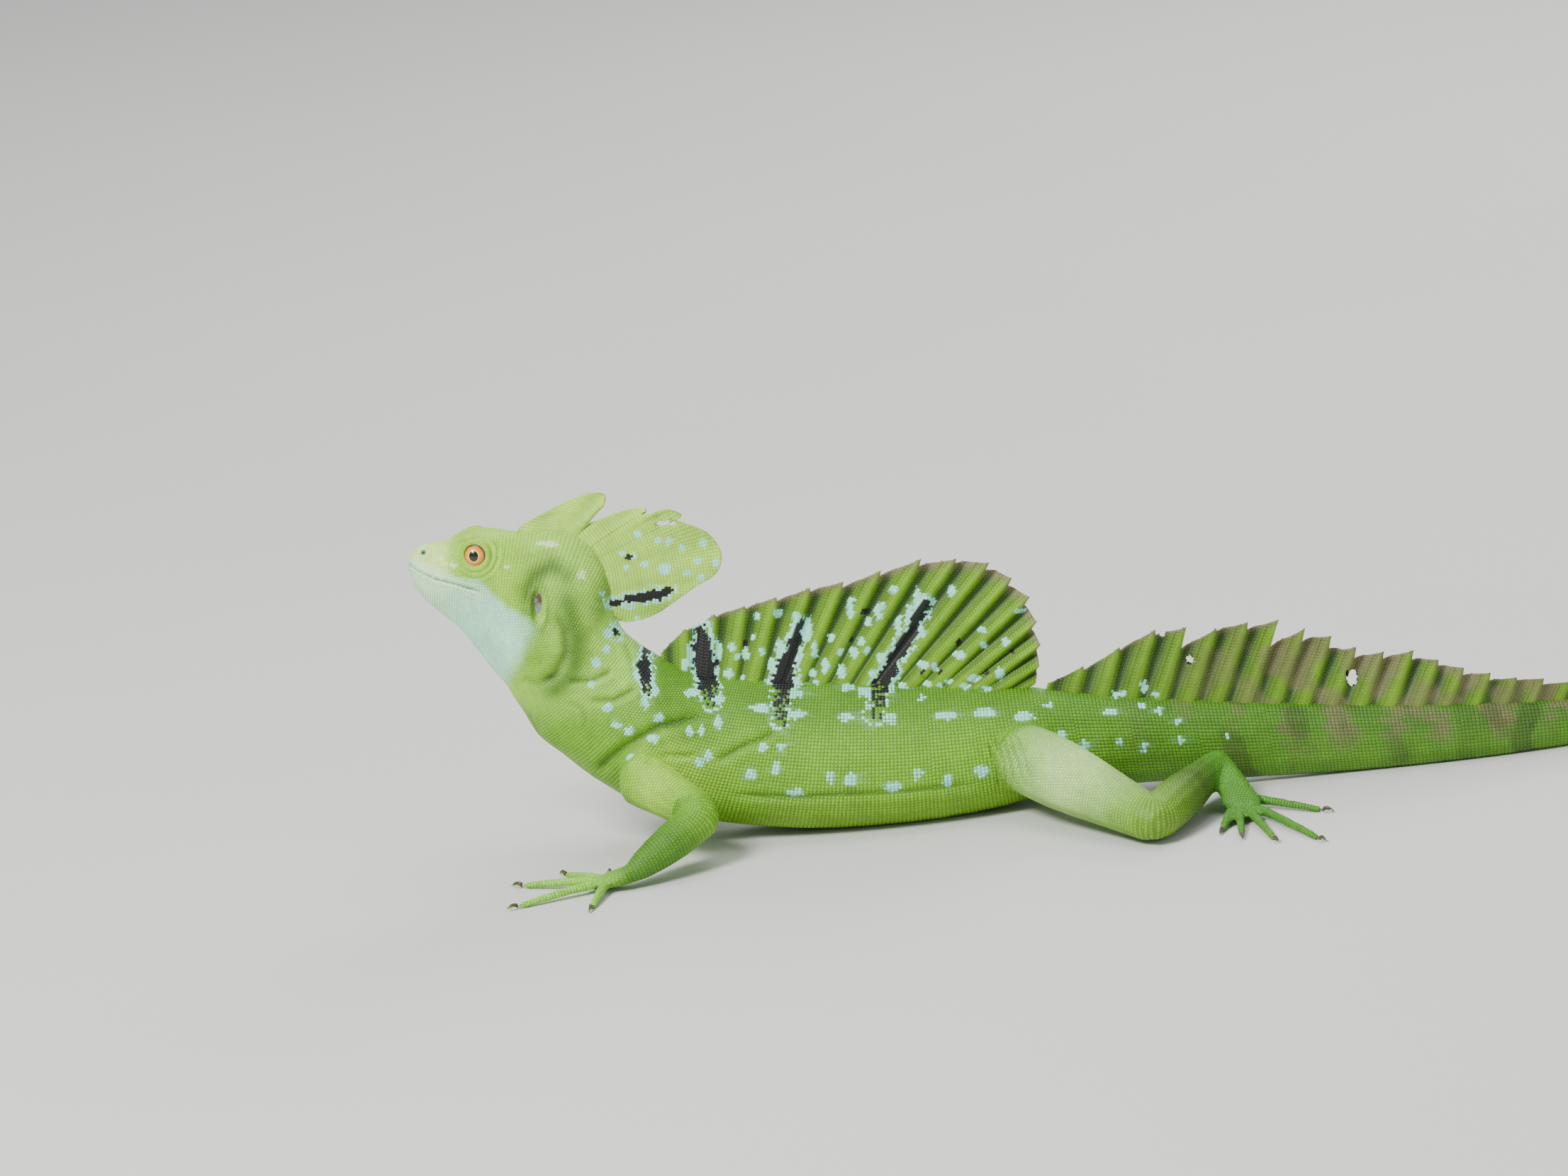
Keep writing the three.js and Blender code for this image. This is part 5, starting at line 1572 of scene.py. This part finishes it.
back_rng = np.random.default_rng(7)
back_dips = back_rng.uniform(0.05, 0.10, BACK_RAYS)
back_tips = back_rng.uniform(0.985, 1.02, BACK_RAYS)


def back_crest(u, v):
    return rayed(
        u, v, BACK_CREST_FROM, BACK_CREST_TO, BACK_RAYS, BACK_LENGTHS,
        BACK_LEAN, BACK_ROOT, back_dips, back_tips,
    )


def sail_colours(u, v, rays):
    """Painted light on the rays and painted shade in the folds between them, paler along the margin."""
    ridge = rise(-0.9, 1.2, pleats(u, rays)[1])
    colour = mixed(np.array(CREST_VALLEY_PAINTED_SHADE), CREST_RIDGE_PAINTED_LIGHT, ridge)
    return mixed(colour, CREST_TIP, 0.75 * rise(0.90, 1.0, v))


def back_crest_colours(u, v, places):
    return sail_colours(u, v, BACK_RAYS)


def sail(name, blade, rays, rows, torn, colours, seed):
    """A rayed crest with its scales, which stand in columns along its rays."""
    crest_piece(f"{name}_skin", name, blade, COLUMNS_PER_RAY * (rays - 1), rows, torn, colours, 0.9)
    columns = SCALES_PER_RAY * (rays - 1)
    scales = blade_scales(blade, (np.arange(columns) + 0.5) / columns, CREST_GAP, torn)
    base = colours(scales[:, 11] % 1.0, scales[:, 12], scales[:, :3])
    coat(f"scales_{name}", scales, SAIL_SCALE_HEIGHT, scale_material, "crest", seed, base, KEELED)


sail("back_crest", back_crest, BACK_RAYS, 80, (), back_crest_colours, 71)

# Tail crest: the same skin on shorter rays, more ragged, with holes torn in it and tips worn brown.
TAIL_CREST_FROM = 0.063
TAIL_CREST_TO = 0.246
TAIL_RAYS = 21
TAIL_LENGTHS = [
    (0, 0.002), (0.05, 0.0085), (0.15, 0.023), (0.3, 0.026), (0.37, 0.0275), (0.42, 0.026), (0.48, 0.020),
    (0.6, 0.0175), (0.75, 0.010), (0.9, 0.0055), (1, 0.0025),
]
TAIL_LEAN = (math.radians(22), math.radians(30), 1.0)
TAIL_ROOT = 0.0022
TAIL_TEARS = [(1679, 931, 5, 5), (1907, 957, 8, 12), (1640, 893, 4, 8)]
tail_rng = np.random.default_rng(11)
tail_dips = tail_rng.uniform(0.10, 0.34, TAIL_RAYS)
tail_tips = tail_rng.uniform(0.94, 1.05, TAIL_RAYS)


def tail_crest(u, v):
    return rayed(
        u, v, TAIL_CREST_FROM, TAIL_CREST_TO, TAIL_RAYS, TAIL_LENGTHS,
        TAIL_LEAN, TAIL_ROOT, tail_dips, tail_tips,
    )


def tail_crest_colours(u, v, places):
    local = places - origin
    worn = rise(0.1, 0.7, wander(local, 0.016, 12) + 0.4) * rise(0.09, 0.14, local[:, 0])
    return mixed(0.8 * sail_colours(u, v, TAIL_RAYS), MAUVE_BROWN, 0.6 * worn)


sail("tail_crest", tail_crest, TAIL_RAYS, 44, TAIL_TEARS, tail_crest_colours, 72)

boxes = {"cad": cad_box, "visual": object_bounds()}
{name: [list(corner) for corner in box] for name, box in boxes.items()}
